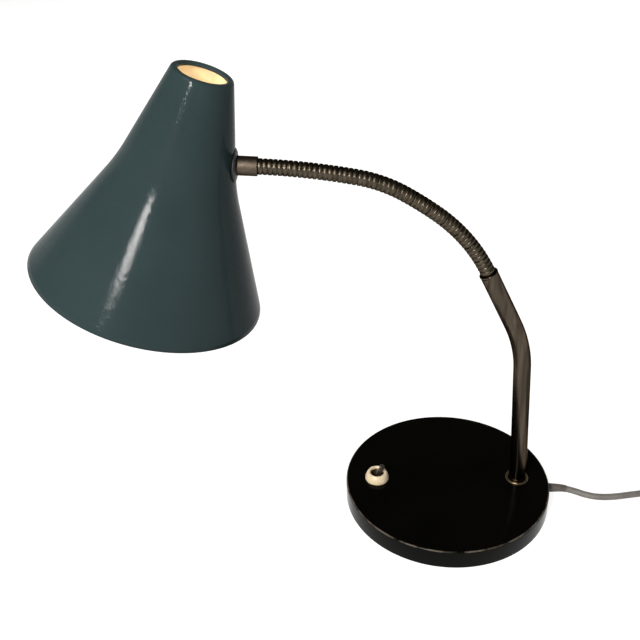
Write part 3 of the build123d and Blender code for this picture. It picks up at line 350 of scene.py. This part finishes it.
brown = surface(
    "brown_bakelite", [(0.3, (0.016, 0.010, 0.008)), (0.7, (0.030, 0.018, 0.013))], (0.2, 0.35),
    scale=220.0, bump_scale=900.0, bump_strength=0.1, bump_distance=0.0001, coat=0.4, coat_rough=0.1)
holder_black = surface(
    "holder_bakelite", [(0.3, (0.010, 0.009, 0.008)), (0.7, (0.020, 0.017, 0.015))], (0.25, 0.4),
    scale=160.0, bump_scale=700.0, bump_strength=0.12, bump_distance=0.0001, coat=0.3, coat_rough=0.15)
ceramic = surface(
    "ceramic", [(0.3, (0.66, 0.63, 0.57)), (0.7, (0.80, 0.78, 0.72))], (0.2, 0.35),
    scale=120.0, bump_scale=500.0, bump_strength=0.1, bump_distance=0.0001)
cord_skin = surface(
    "cord_sheath",
    [(0.25, (0.13, 0.12, 0.11)), (0.55, (0.175, 0.163, 0.148)), (0.8, (0.22, 0.207, 0.19))],
    (0.45, 0.62), scale=180.0, bump_scale=900.0, bump_strength=0.25, bump_distance=0.00012)
relief_skin = surface(
    "brown_rubber", [(0.3, (0.080, 0.069, 0.059)), (0.7, (0.125, 0.110, 0.096))], (0.5, 0.65),
    scale=200.0, bump_scale=1200.0, bump_strength=0.25, bump_distance=0.0001)
wire_skin = surface(
    "wire_sleeve", [(0.3, (0.26, 0.20, 0.14)), (0.7, (0.36, 0.29, 0.21))], (0.5, 0.7),
    scale=300.0, bump_scale=1500.0, bump_strength=0.3, bump_distance=0.0001)


def make_opal():
    material, tree, output = new_material("opal_glass")
    shader = add(tree, "ShaderNodeBsdfPrincipled")
    shader.inputs["Subsurface Weight"].default_value = 0.3
    shader.inputs["Subsurface Radius"].default_value = (0.004, 0.004, 0.003)
    wander = noise(tree, 40.0)
    colour = ramp(tree, wander, [(0.3, (0.80, 0.78, 0.72)), (0.7, (0.88, 0.86, 0.81))])
    tree.links.new(colour, shader.inputs["Base Color"])
    tree.links.new(grey(tree, wander, 0.12, 0.22), shader.inputs["Roughness"])
    tree.links.new(bump(tree, noise(tree, 90.0), 0.05, 0.0002), shader.inputs["Normal"])
    tree.links.new(shader.outputs["BSDF"], output.inputs["Surface"])
    return material


opal = make_opal()


# ---- Mesh helpers ----
def mm(*values):
    return Vector([value / 1000.0 for value in values])


def link_mesh(name, points, faces, materials, face_slots=None):
    mesh = bpy.data.meshes.new(name)
    mesh.from_pydata([tuple(point) for point in points], [], faces)
    for material in materials:
        mesh.materials.append(material)
    if face_slots:
        mesh.polygons.foreach_set("material_index", face_slots)
    mesh.polygons.foreach_set("use_smooth", [True] * len(mesh.polygons))
    mesh.update()
    piece = bpy.data.objects.new(name, mesh)
    scene.collection.objects.link(piece)
    return piece


def rounded(corners, steps):
    """A line with its corners rounded; each corner is (radius from the axis, height, corner radius)."""
    points = []
    for index, (r, h, bend) in enumerate(corners):
        here = Vector((r, h))
        if bend <= 0 or index in (0, len(corners) - 1):
            points.append((r, h))
            continue
        before = Vector(corners[index - 1][:2]) - here
        after = Vector(corners[index + 1][:2]) - here
        angle = before.angle(after)
        reach = min(bend / math.tan(angle / 2), before.length * 0.49, after.length * 0.49)
        start = here + before.normalized() * reach
        end = here + after.normalized() * reach
        for step in range(steps + 1):
            t = step / steps
            point = start * (1 - t) ** 2 + here * 2 * t * (1 - t) + end * t**2
            points.append((point.x, point.y))
    return points


def turned_faces(around, count, rows):
    """Faces between columns of count points that stand in a circle, on the first rows of each column."""
    faces = []
    for turn in range(around):
        here = turn * count
        there = (turn + 1) % around * count
        for row in range(rows):
            after = (row + 1) % count
            faces.append((here + row, there + row, there + after, here + after))
    return faces


def lathe(name, profile, origin, axis, materials, around, slots=None, closed=True):
    """Turns a profile of (radius, height) in millimetres about an axis; slots are its rows' materials."""
    along = axis.normalized()
    first = SIDE.cross(along).normalized()
    points = []
    for turn in range(around):
        angle = 2 * math.pi * turn / around
        out = first * math.cos(angle) + SIDE * math.sin(angle)
        points += [origin + (out * r + along * h) / 1000.0 for r, h in profile]
    count = len(profile)
    faces = turned_faces(around, count, count if closed else count - 1)
    piece = link_mesh(name, points, faces, materials, slots * around if slots else None)
    weld = piece.modifiers.new("weld", "WELD")
    weld.merge_threshold = 1e-6
    return piece


def heading_vector(heading):
    """Direction of a line in the lamp's plane that leans from upright towards -X."""
    return Vector((-math.sin(math.radians(heading)), 0, math.cos(math.radians(heading))))


def tube_mesh(name, tubes, around, material):
    """One mesh of several tubes, each a list of rings (point, heading, radius) in millimetres."""
    points = []
    faces = []
    for rings in tubes:
        first = len(points)
        for position, heading, radius in rings:
            across = SIDE.cross(heading_vector(heading))
            for turn in range(around):
                angle = 2 * math.pi * turn / around
                out = across * math.cos(angle) + SIDE * math.sin(angle)
                points.append((position + out * radius) / 1000.0)
        for row in range(len(rings) - 1):
            low = first + row * around
            for turn in range(around):
                after = (turn + 1) % around
                faces.append((low + turn, low + after, low + around + after, low + around + turn))
    return link_mesh(name, points, faces, [material])


def place(piece, body, slot, *replaced):
    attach(piece, body)
    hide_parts(*replaced)


# ---- Places that follow from the frame's joints ----
def neck_heading(along):
    heading = STEM_RAKE + STEM_BEND
    for length, turn in NECK_COURSE:
        if along <= length:
            return heading + turn * along / length
        along -= length
        heading += turn
    return heading


joints = {joint["name"]: joint for joint in frame["joints"]}
hinges = []
for number in range(1, LINKS + 1):
    kind = "bend" if number % 2 else "sway"
    hinges.append(Vector(joints[f"neck_{kind}_{number:02d}"]["pos_m"]))
last_link_heading = neck_heading((LINKS - 0.5) * LINK)
neck_end = hinges[-1] + heading_vector(last_link_heading) * LINK / 1000.0
neck_out = heading_vector(neck_heading(LINKS * LINK))
fixing = Vector(joints["shade_swivel"]["pos_m"])
tilt = math.radians(90 - neck_heading(LINKS * LINK) + UPPER_ANGLE)
shade_right = Vector((math.cos(tilt), 0, -math.sin(tilt)))
shade_down = Vector((-math.sin(tilt), 0, -math.cos(tilt)))
upper_slope = math.tan(math.radians(UPPER_ANGLE))
fixing_radius = SHADE_TOP_RADIUS + FIXING_DEPTH * upper_slope
shade_top = fixing - (shade_right * fixing_radius + shade_down * FIXING_DEPTH) / 1000.0


# ---- Mains cord, with its stored length coiled outside the view ----
def coil_points():
    """The coil's turns: inwards on the table, up, and outwards on top of them."""
    climb_start = COIL_TURNS / 2 - 0.30
    climb_turns = 0.55
    points = []
    spread = 2 / (1 + math.cos(math.pi / COIL_POINTS))
    for step in range(1, int(COIL_TURNS * COIL_POINTS) + 1):
        turn = step / COIL_POINTS
        angle = math.pi / 2 - 2 * math.pi * turn
        inward = min(turn, COIL_TURNS - turn)
        radius = (COIL_OUTER_LINE - inward * CORD) * spread
        climb = min(max((turn - climb_start) / climb_turns, 0.0), 1.0)
        height = CORD_REST + CORD * climb * climb * (3 - 2 * climb)
        x = COIL_CENTRE[0] + radius * math.cos(angle)
        y = COIL_CENTRE[1] + radius * math.sin(angle)
        points.append((x, y, height))
    return points


def make_cord():
    line = bpy.data.curves.new("mains_flex", "CURVE")
    line.dimensions = "3D"
    line.bevel_depth = CORD / 2000.0
    line.bevel_resolution = 6
    line.resolution_u = 10
    line.use_fill_caps = True
    route = [*CORD_ROUTE, *coil_points(), *PLUG_LEAD]
    spline = line.splines.new("NURBS")
    spline.points.add(len(route) - 1)
    for point, place_mm in zip(spline.points, route):
        point.co = (*mm(*place_mm), 1.0)
    spline.order_u = 3
    spline.use_endpoint_u = True
    line.materials.append(cord_skin)
    flex = bpy.data.objects.new("mains_flex", line)
    scene.collection.objects.link(flex)
    place(flex, "base", "cord_grey", "mains_cord", "cord_coil", "plug_lead")
    return flex


cord = make_cord()


# ---- Base ----
def make_base():
    inner_radius = BASE_RADIUS - SHELL_WALL
    inner_height = BASE_HEIGHT - SHELL_WALL
    middle, *rest = rounded([
        (0.0, BASE_HEIGHT, 0),
        (BASE_RADIUS, BASE_HEIGHT, SHELL_EDGE_RADIUS),
        (BASE_RADIUS, SHELL_RIM_LIFT, 0.3),
        (inner_radius, SHELL_RIM_LIFT, 0.3),
        (inner_radius, inner_height, 0.5),
        (0.0, inner_height, 0),
    ], 8)
    rings = [(radius, BASE_HEIGHT) for radius in (5.0, 20.0, 40.0, 60.0)]
    profile = [middle, *rings, *rest]
    shell = lathe("base_skin", profile, Vector((0, 0, 0)), UP, [black], 256, closed=False)
    place(shell, "base", "black_enamel", "base_shell")


def make_collar():
    foot = BASE_HEIGHT + SEAT_GAP
    top = BASE_HEIGHT + COLLAR_HEIGHT
    profile = rounded([
        (6.4, foot, 0),
        (COLLAR_RADIUS, foot, 0.15),
        (COLLAR_RADIUS, top, 0.75),
        (6.35, top, 0.35),
        (6.4, foot, 0),
    ], 6)
    collar = lathe("collar_ring", profile, mm(STEM_X, 0, 0), UP, [bright_ring], 96, closed=False)
    place(collar, "base", "nickel", "stem_collar")


# ---- Stem ----
def stem_course():
    """Points and headings of the stem's centre line from its foot to its top."""
    steps = 150
    total = sum(length for length, turn in STEM_RUNS)
    position = Vector((STEM_X, 0, BASE_HEIGHT))
    course = [(position.copy(), 0.0)]
    heading = 0.0
    for length, turn in STEM_RUNS:
        parts = max(2, int(steps * length / total))
        for part in range(parts):
            middle = heading + turn * (part + 0.5) / parts
            position = position + heading_vector(middle) * (length / parts)
            course.append((position.copy(), heading + turn * (part + 1) / parts))
        heading += turn
    return course


def make_stem():
    course = stem_course()
    top, heading = course[-1]
    up = heading_vector(heading)
    lip_start = STEM_LIP[0][0]
    rings = [(at, lean, STEM_RADIUS) for at, lean in course if (at - top).length > lip_start]
    rings += [(top - up * back, heading, radius) for back, radius in STEM_LIP]
    stem = tube_mesh("stem_skin", [rings], 64, stem_metal)
    place(stem, "base", "stem_chrome", "stem_tube")


# ---- Gooseneck ----
def neck_line():
    """The neck's smooth centre line, (distance, point, heading), from the stem's top to the sleeve."""
    total = LINKS * LINK
    count = LINKS * RIBS_PER_LINK * RINGS_PER_RIB
    step = total / count
    position = hinges[0] * 1000.0
    line = [(0.0, position.copy(), neck_heading(0))]
    for number in range(count):
        position = position + heading_vector(neck_heading((number + 0.5) * step)) * step
        line.append(((number + 1) * step, position.copy(), neck_heading((number + 1) * step)))
    miss = neck_end * 1000.0 - position
    return [(along, point + miss * (along / total), heading) for along, point, heading in line]


def rib_radius(phase):
    """Round ribs with narrow grooves; phase is a whole number at a groove's bottom."""
    return GROOVE_RADIUS + RIB_RISE * abs(math.sin(math.pi * phase)) ** RIB_ROUNDNESS


def ball_band(centre, heading):
    """The middle of a ball, which closes the groove between two links at any bend."""
    steps = 8
    rings = []
    for step in range(steps + 1):
        along = BAND_REACH * (2 * step / steps - 1)
        radius = math.sqrt(BAND_RADIUS**2 - along**2)
        rings.append((centre + heading_vector(heading) * along, heading, radius))
    return rings


def make_neck():
    """Fourteen ribbed links, each on its own body, that meet in grooves at the hinges."""
    line = neck_line()
    per_link = RIBS_PER_LINK * RINGS_PER_RIB
    for number in range(1, LINKS + 1):
        (_, *start), *between, (_, *end) = line[(number - 1) * per_link:number * per_link + 1]
        rings = [(position, heading, rib_radius(along / RIB_PITCH)) for along, position, heading in between]
        rings.insert(0, (*rings[0][:2], LINK_END_RADIUS))
        tubes = [rings]
        if number < LINKS:
            rings.append((*rings[-1][:2], LINK_END_RADIUS))
            tubes.append(ball_band(*end))
        else:
            rings.append((*end, GROOVE_RADIUS))
        if number == 1:
            tubes.append(ball_band(*start))
        piece = tube_mesh(f"neck_coil_{number:02d}", tubes, 40, neck_metal)
        place(piece, f"neck_{number:02d}", "neck_chrome", f"neck_link_{number:02d}")


def make_sleeve():
    profile = rounded([
        (4.9, 0.0, 0),
        (SLEEVE_RADIUS, 0.0, 0.35),
        (SLEEVE_RADIUS, SLEEVE_LENGTH, 0.4),
        (4.0, SLEEVE_LENGTH, 0),
        (4.0, 3.0, 0),
        (4.9, 3.0, 0),
        (4.9, 0.0, 0),
    ], 5)
    sleeve = lathe("sleeve_skin", profile, neck_end, neck_out, [nickel], 96, closed=False)
    place(sleeve, "neck_14", "nickel", "neck_sleeve")


# ---- Shade ----
def shade_outline():
    """Outside of the shade below its lip as (radius, depth): a cone, a curved waist and a wider cone."""
    upper = math.radians(UPPER_ANGLE)
    widening = LOWER_ANGLE - UPPER_ANGLE
    waist = Vector((SHADE_TOP_RADIUS + WAIST_DEPTH * upper_slope, WAIST_DEPTH))
    rim = waist.x + (SHADE_LENGTH - WAIST_DEPTH) * math.tan(math.radians(LOWER_ANGLE))
    reach = WAIST_RADIUS * math.tan(math.radians(widening) / 2)
    start = waist - Vector((math.sin(upper), math.cos(upper))) * reach
    centre = start + Vector((math.cos(upper), -math.sin(upper))) * WAIST_RADIUS
    cone_steps = 24
    waist_steps = 20
    outline = []
    for step in range(1, cone_steps):
        depth = SHADE_LIP_DEPTH + (start.y - SHADE_LIP_DEPTH) * step / cone_steps
        outline.append((SHADE_TOP_RADIUS + depth * upper_slope, depth))
    for step in range(waist_steps + 1):
        angle = math.radians(UPPER_ANGLE + widening * step / waist_steps)
        outline.append((centre.x - WAIST_RADIUS * math.cos(angle), centre.y + WAIST_RADIUS * math.sin(angle)))
    radius, depth = outline[-1]
    for step in range(1, cone_steps + 1):
        share = step / cone_steps
        outline.append((radius + (rim - radius) * share, depth + (SHADE_LENGTH - depth) * share))
    return outline


def make_shade():
    outline = shade_outline()
    lip = rounded([
        (SHADE_MOUTH_RADIUS, SHADE_LIP_DEPTH, 0),
        (SHADE_MOUTH_RADIUS, 0.0, SHADE_LIP_RADIUS),
        (SHADE_TOP_RADIUS, 0.0, SHADE_CORNER_RADIUS),
        (*outline[0], 0),
    ], 9)
    outside = lip[:-1] + outline
    inside = []
    for index, (radius, depth) in enumerate(outside):
        before = Vector(outside[max(index - 1, 0)])
        after = Vector(outside[min(index + 1, len(outside) - 1)])
        run = (after - before).normalized()
        inside.append((radius - run.y * SHADE_WALL, depth + run.x * SHADE_WALL))
    inside[0] = (SHADE_MOUTH_RADIUS + SHADE_WALL, SHADE_LIP_DEPTH)
    profile = outside + inside[::-1]
    slots = [0] * len(outside) + [1] * (len(inside) - 1) + [0]
    shade = lathe("shade_skin", profile, shade_top, shade_down, [teal, cream], 256, slots)
    place(shade, "head", "teal_enamel", "shade")


def make_washer():
    """Domed washer whose underside follows the shade's cone."""
    around = 96
    bore = 5.2
    seat = 10.3
    dome = ((bore, 1.0), (8.0, 1.0), (8.6, 0.94), (9.6, 0.55), (seat, 0.2), (SADDLE_RADIUS, 0.02))
    out = -neck_out
    rise = SIDE.cross(out)
    centre = fixing * 1000.0
    top = shade_top * 1000.0

    def cone_height(direction, radius):
        """Height of the gap over the shade's cone, along the washer's axis."""
        flat = centre + direction * radius
        cone = SHADE_TOP_RADIUS + (flat - top).dot(shade_down) * upper_slope + SADDLE_GAP
        reach = math.sqrt(cone**2 - flat.y**2)
        return (reach - (flat - top).dot(shade_right)) * math.cos(math.radians(UPPER_ANGLE))

    points = []
    for turn in range(around):
        angle = 2 * math.pi * turn / around
        direction = rise * math.cos(angle) + SIDE * math.sin(angle)
        foot = cone_height(direction, seat)
        column = [*dome, (SADDLE_RADIUS, foot + SEAT_GAP), (seat, foot), (bore, cone_height(direction, bore))]
        points += [(centre + direction * radius + out * height) / 1000.0 for radius, height in column]
    count = len(points) // around
    washer = link_mesh("washer_skin", points, turned_faces(around, count, count), [rubber])
    place(washer, "head", "black_rubber", "saddle_washer")


# ---- Lampholder and bulb ----
def make_bulb():
    foot = HOLDER_TOP + CAP_HEIGHT + SKIRT_HEIGHT - SCREW_SHELL_HEIGHT + BULB_CAP_HEIGHT + FIT_GAP
    centre = foot + BULB_NECK_HEIGHT + math.sqrt(BULB_RADIUS**2 - BULB_NECK_RADIUS**2)
    start = math.atan2(BULB_NECK_RADIUS, foot + BULB_NECK_HEIGHT - centre)
    steps = 32
    profile = [(0.0, foot + 0.2), (11.0, foot)]
    profile += [(BULB_NECK_RADIUS, foot + 0.6), (BULB_NECK_RADIUS, foot + 7.5)]
    for step in range(1, steps + 1):
        angle = start * (1 - step / steps)
        profile.append((BULB_RADIUS * math.sin(angle), centre + BULB_RADIUS * math.cos(angle)))
    bulb = lathe("bulb_skin", profile, shade_top, shade_down, [opal], 96, closed=False)
    place(bulb, "head", "opal_glass", "bulb_glass")


def make_holder_cap():
    crown = HOLDER_TOP + FIT_GAP
    foot = HOLDER_TOP + CAP_HEIGHT - SEAT_GAP
    profile = rounded([
        (HOLDER_THREAD_HOLE, crown, 0),
        (11.0, crown, 0.8),
        (17.3, HOLDER_TOP + 4.2, 5.0),
        (HOLDER_RADIUS, HOLDER_TOP + 10.2, 3.0),
        (HOLDER_RADIUS, foot, 0.4),
        (HOLDER_BORE, foot, 0),
        (HOLDER_BORE, HOLDER_TOP + 10.0, 0),
        (HOLDER_THREAD_HOLE, HOLDER_TOP + 4.0, 0),
    ], 7)
    cap = lathe("holder_cap_skin", profile, shade_top, shade_down, [holder_black], 128)
    place(cap, "head", "bakelite_black", "holder_cap")


def make_holder_skirt():
    top = HOLDER_TOP + CAP_HEIGHT
    foot = top + SKIRT_HEIGHT
    profile = [(SKIRT_BORE, top + 0.06), (GRIP_RADIUS, top + 0.06), (HOLDER_RADIUS, top + 0.5)]
    for groove in range(4):
        at = top + 6.0 + groove * 2.4
        profile += [(HOLDER_RADIUS, at), (GRIP_RADIUS, at + 0.5)]
        profile += [(GRIP_RADIUS, at + 1.1), (HOLDER_RADIUS, at + 1.6)]
    profile += [(HOLDER_RADIUS, foot - 1.4), (18.7, foot - 0.5)]
    profile += [(17.9, foot - 0.05), (SKIRT_BORE, foot - 0.05)]
    skirt = lathe("holder_skirt_skin", profile, shade_top, shade_down, [holder_black], 128)
    place(skirt, "head", "bakelite_black", "holder_skirt")


# ---- Switch ----
def make_switch_ring():
    profile = rounded([
        (RING_BORE, SEAT_GAP, 0),
        (8.8, SEAT_GAP, 0.3),
        (8.75, 1.6, 1.0),
        (7.8, 4.3, 1.6),
        (6.7, 5.95, 1.3),
        (5.5, 6.1, 0.8),
        (RING_HOLE, 5.2, 0.5),
        (RING_HOLE, 3.6, 0),
        (RING_BORE, 3.6, 0),
        (RING_BORE, SEAT_GAP, 0),
    ], 8)
    ring = lathe("switch_ring_skin", profile, mm(SWITCH_X, 0, BASE_HEIGHT), UP, [ivory], 128, closed=False)
    place(ring, "base", "bakelite_cream", "switch_ring")


def make_lever():
    """The lever's tail, the ball at its pivot and its waisted rod with a domed tip."""
    lean = math.radians(LEVER_LEAN)
    along = Vector((math.sin(lean), 0, math.cos(lean)))
    ball_low = 156
    ball_high = 41
    steps = 12
    profile = [(0.0, -5.4), (1.0, -5.4), (1.2, -5.2), (1.2, -2.7)]
    for step in range(1, steps):
        angle = math.radians(ball_low - (ball_low - ball_high) * step / steps)
        profile.append((LEVER_BALL * math.sin(angle), LEVER_BALL * math.cos(angle)))
    profile += [(1.9, 2.3), (1.75, 6.0), (1.72, 9.0), (1.82, 11.2), (1.86, 12.1)]
    profile += [(1.78, 12.6), (1.5, 13.05), (1.0, 13.3), (0.5, 13.39), (0.0, 13.4)]
    pivot = mm(SWITCH_X, 0, LEVER_PIVOT_HEIGHT)
    lever = lathe("lever_skin", profile, pivot, along, [brown], 64, closed=False)
    place(lever, "lever", "bakelite_brown", "toggle_lever")


make_base()
make_collar()
make_stem()
make_neck()
make_sleeve()
make_shade()
make_washer()
make_bulb()
make_holder_cap()
make_holder_skirt()
make_switch_ring()
make_lever()


# ---- Materials of the CAD nodes that stay ----
def dress(material, *names):
    for name in names:
        data = nodes[name].data
        data.materials.clear()
        data.materials.append(material)


dress(iron, "ballast")
dress(plated, "bottom_plate", "plate_screws", "stem_washer", "stem_nut", "holder_bracket", "inner_washer",
      "shade_nut", "holder_nut", "lever_pin", "cord_clamp", "clamp_screws")
dress(felt, "felt_pad")
dress(brass, "stem_nipple", "shade_nipple", "holder_nipple", "screw_shell", "centre_contact", "bulb_cap",
      "switch_terminals", "contact_bridge", "plug_pins")
dress(neck_metal, "neck_socket")
dress(nickel, "switch_bush")
dress(holder_black, "switch_body")
dress(ceramic, "holder_insert")
dress(wire_skin, "stem_lead", "holder_lead", "inner_wires")
dress(relief_skin, "cord_grommet")
dress(brown, "plug_body")


# ---- Floor, world and lights, in metres ----
LAMP_MIDDLE = Vector((-0.1, 0, 0.15))
SHADE_SIDE = mm(-195, -48, 240)
KEY_COLOUR = (1.0, 0.98, 0.94)
FILL_COLOUR = (1.0, 0.99, 0.97)
TUBE_COLOUR = (1.0, 0.965, 0.95)


def make_floor():
    """A pale floor that takes shadows and glows for the camera, for metal and for glass."""
    size = 6.0
    steps = 8
    glow_strength = 0.88
    marks = [(step / steps - 0.5) * size for step in range(steps + 1)]
    points = [(x, y, 0.0) for y in marks for x in marks]
    faces = []
    for y in range(steps):
        for x in range(steps):
            corner = y * (steps + 1) + x
            faces.append((corner, corner + 1, corner + steps + 2, corner + steps + 1))
    material, tree, output = new_material("floor")
    lit = add(tree, "ShaderNodeBsdfDiffuse", Color=(0.30, 0.30, 0.29, 1))
    glow = add(tree, "ShaderNodeEmission", Color=(1, 1, 1, 1))
    path = add(tree, "ShaderNodeLightPath")
    seen = path.outputs["Is Camera Ray"]
    for kind_of_ray in ("Is Glossy Ray", "Is Transmission Ray"):
        seen = combine(tree, "MAXIMUM", seen, path.outputs[kind_of_ray])
    tree.links.new(grey(tree, seen, 0.0, glow_strength, 0.0, 1.0), glow.inputs["Strength"])
    both = add(tree, "ShaderNodeAddShader")
    tree.links.new(lit.outputs[0], both.inputs[0])
    tree.links.new(glow.outputs[0], both.inputs[1])
    tree.links.new(both.outputs[0], output.inputs["Surface"])
    floor = link_mesh("floor", points, faces, [material])


def make_world():
    """A pale backdrop up to a little above the horizon, under a dim studio ceiling."""
    world = bpy.data.worlds.new("world")
    scene.world = world
    world.use_nodes = True
    tree = world.node_tree
    tree.nodes.clear()
    output = tree.nodes.new("ShaderNodeOutputWorld")
    place_node = tree.nodes.new("ShaderNodeTexCoord")
    split = tree.nodes.new("ShaderNodeSeparateXYZ")
    tree.links.new(place_node.outputs["Generated"], split.inputs[0])
    room = ramp(tree, grey(tree, split.outputs["Z"], 0.0, 1.0, -1.0, 1.0), [
        (0.0, (1.0, 1.0, 1.0)),
        (0.57, (1.0, 1.0, 1.0)),
        (0.61, (0.30, 0.29, 0.27)),
        (0.65, (0.06, 0.057, 0.052)),
        (1.0, (0.045, 0.043, 0.040)),
    ])
    air = add(tree, "ShaderNodeBackground", Strength=1.0)
    tree.links.new(room, air.inputs["Color"])
    tree.links.new(air.outputs[0], output.inputs["Surface"])


def link_light(name, kind_of_light, power, colour, glossy):
    data = bpy.data.lights.new(name, kind_of_light)
    data.energy = power
    data.color = colour
    light = bpy.data.objects.new(name, data)
    scene.collection.objects.link(light)
    light.visible_glossy = glossy
    light.visible_camera = False
    return light, data


def area_light(name, position, target, size, power, colour, glossy=False):
    """A rectangular lamp, its size as (width, height), that faces the target."""
    light, data = link_light(name, "AREA", power, colour, glossy)
    data.shape = "RECTANGLE"
    data.size, data.size_y = size
    back = (Vector(position) - target).normalized()
    side = UP.cross(back).normalized()
    turn = Matrix((side, back.cross(side), back)).transposed().to_4x4()
    turn.translation = Vector(position)
    light.matrix_world = turn


def mouth_fill():
    """A dim lamp under the shade's open top, for the light that falls in there."""
    light, data = link_light("mouth_fill", "POINT", 0.015, (1.0, 0.97, 0.9), False)
    data.shadow_soft_size = 0.003
    light.location = shade_top + shade_down * 0.022


def around_shade(azimuth, elevation, distance):
    """The point at a distance from the shade's side, seen in a direction in degrees."""
    a = math.radians(azimuth)
    e = math.radians(elevation)
    return SHADE_SIDE + Vector((math.cos(e) * math.cos(a), math.cos(e) * math.sin(a), math.sin(e))) * distance


make_floor()
make_world()
area_light("key", (-0.741, -0.915, 1.687), LAMP_MIDDLE, (0.9, 0.5), 12.0, KEY_COLOUR, glossy=True)
area_light("front", (-0.95, -1.35, 0.95), LAMP_MIDDLE, (1.0, 1.0), 6.0, KEY_COLOUR)
area_light("top", (0.0, 0.2, 2.2), Vector((0.0, 0.0, 0.1)), (2.4, 2.4), 6.0, FILL_COLOUR)
area_light("back", (-0.2, 1.7, 0.9), LAMP_MIDDLE, (1.0, 1.0), 10.0, FILL_COLOUR)
area_light("tube", around_shade(-108, 30.2, 1.6), SHADE_SIDE, (0.20, 0.28), 23.0, TUBE_COLOUR, glossy=True)
mouth_fill()
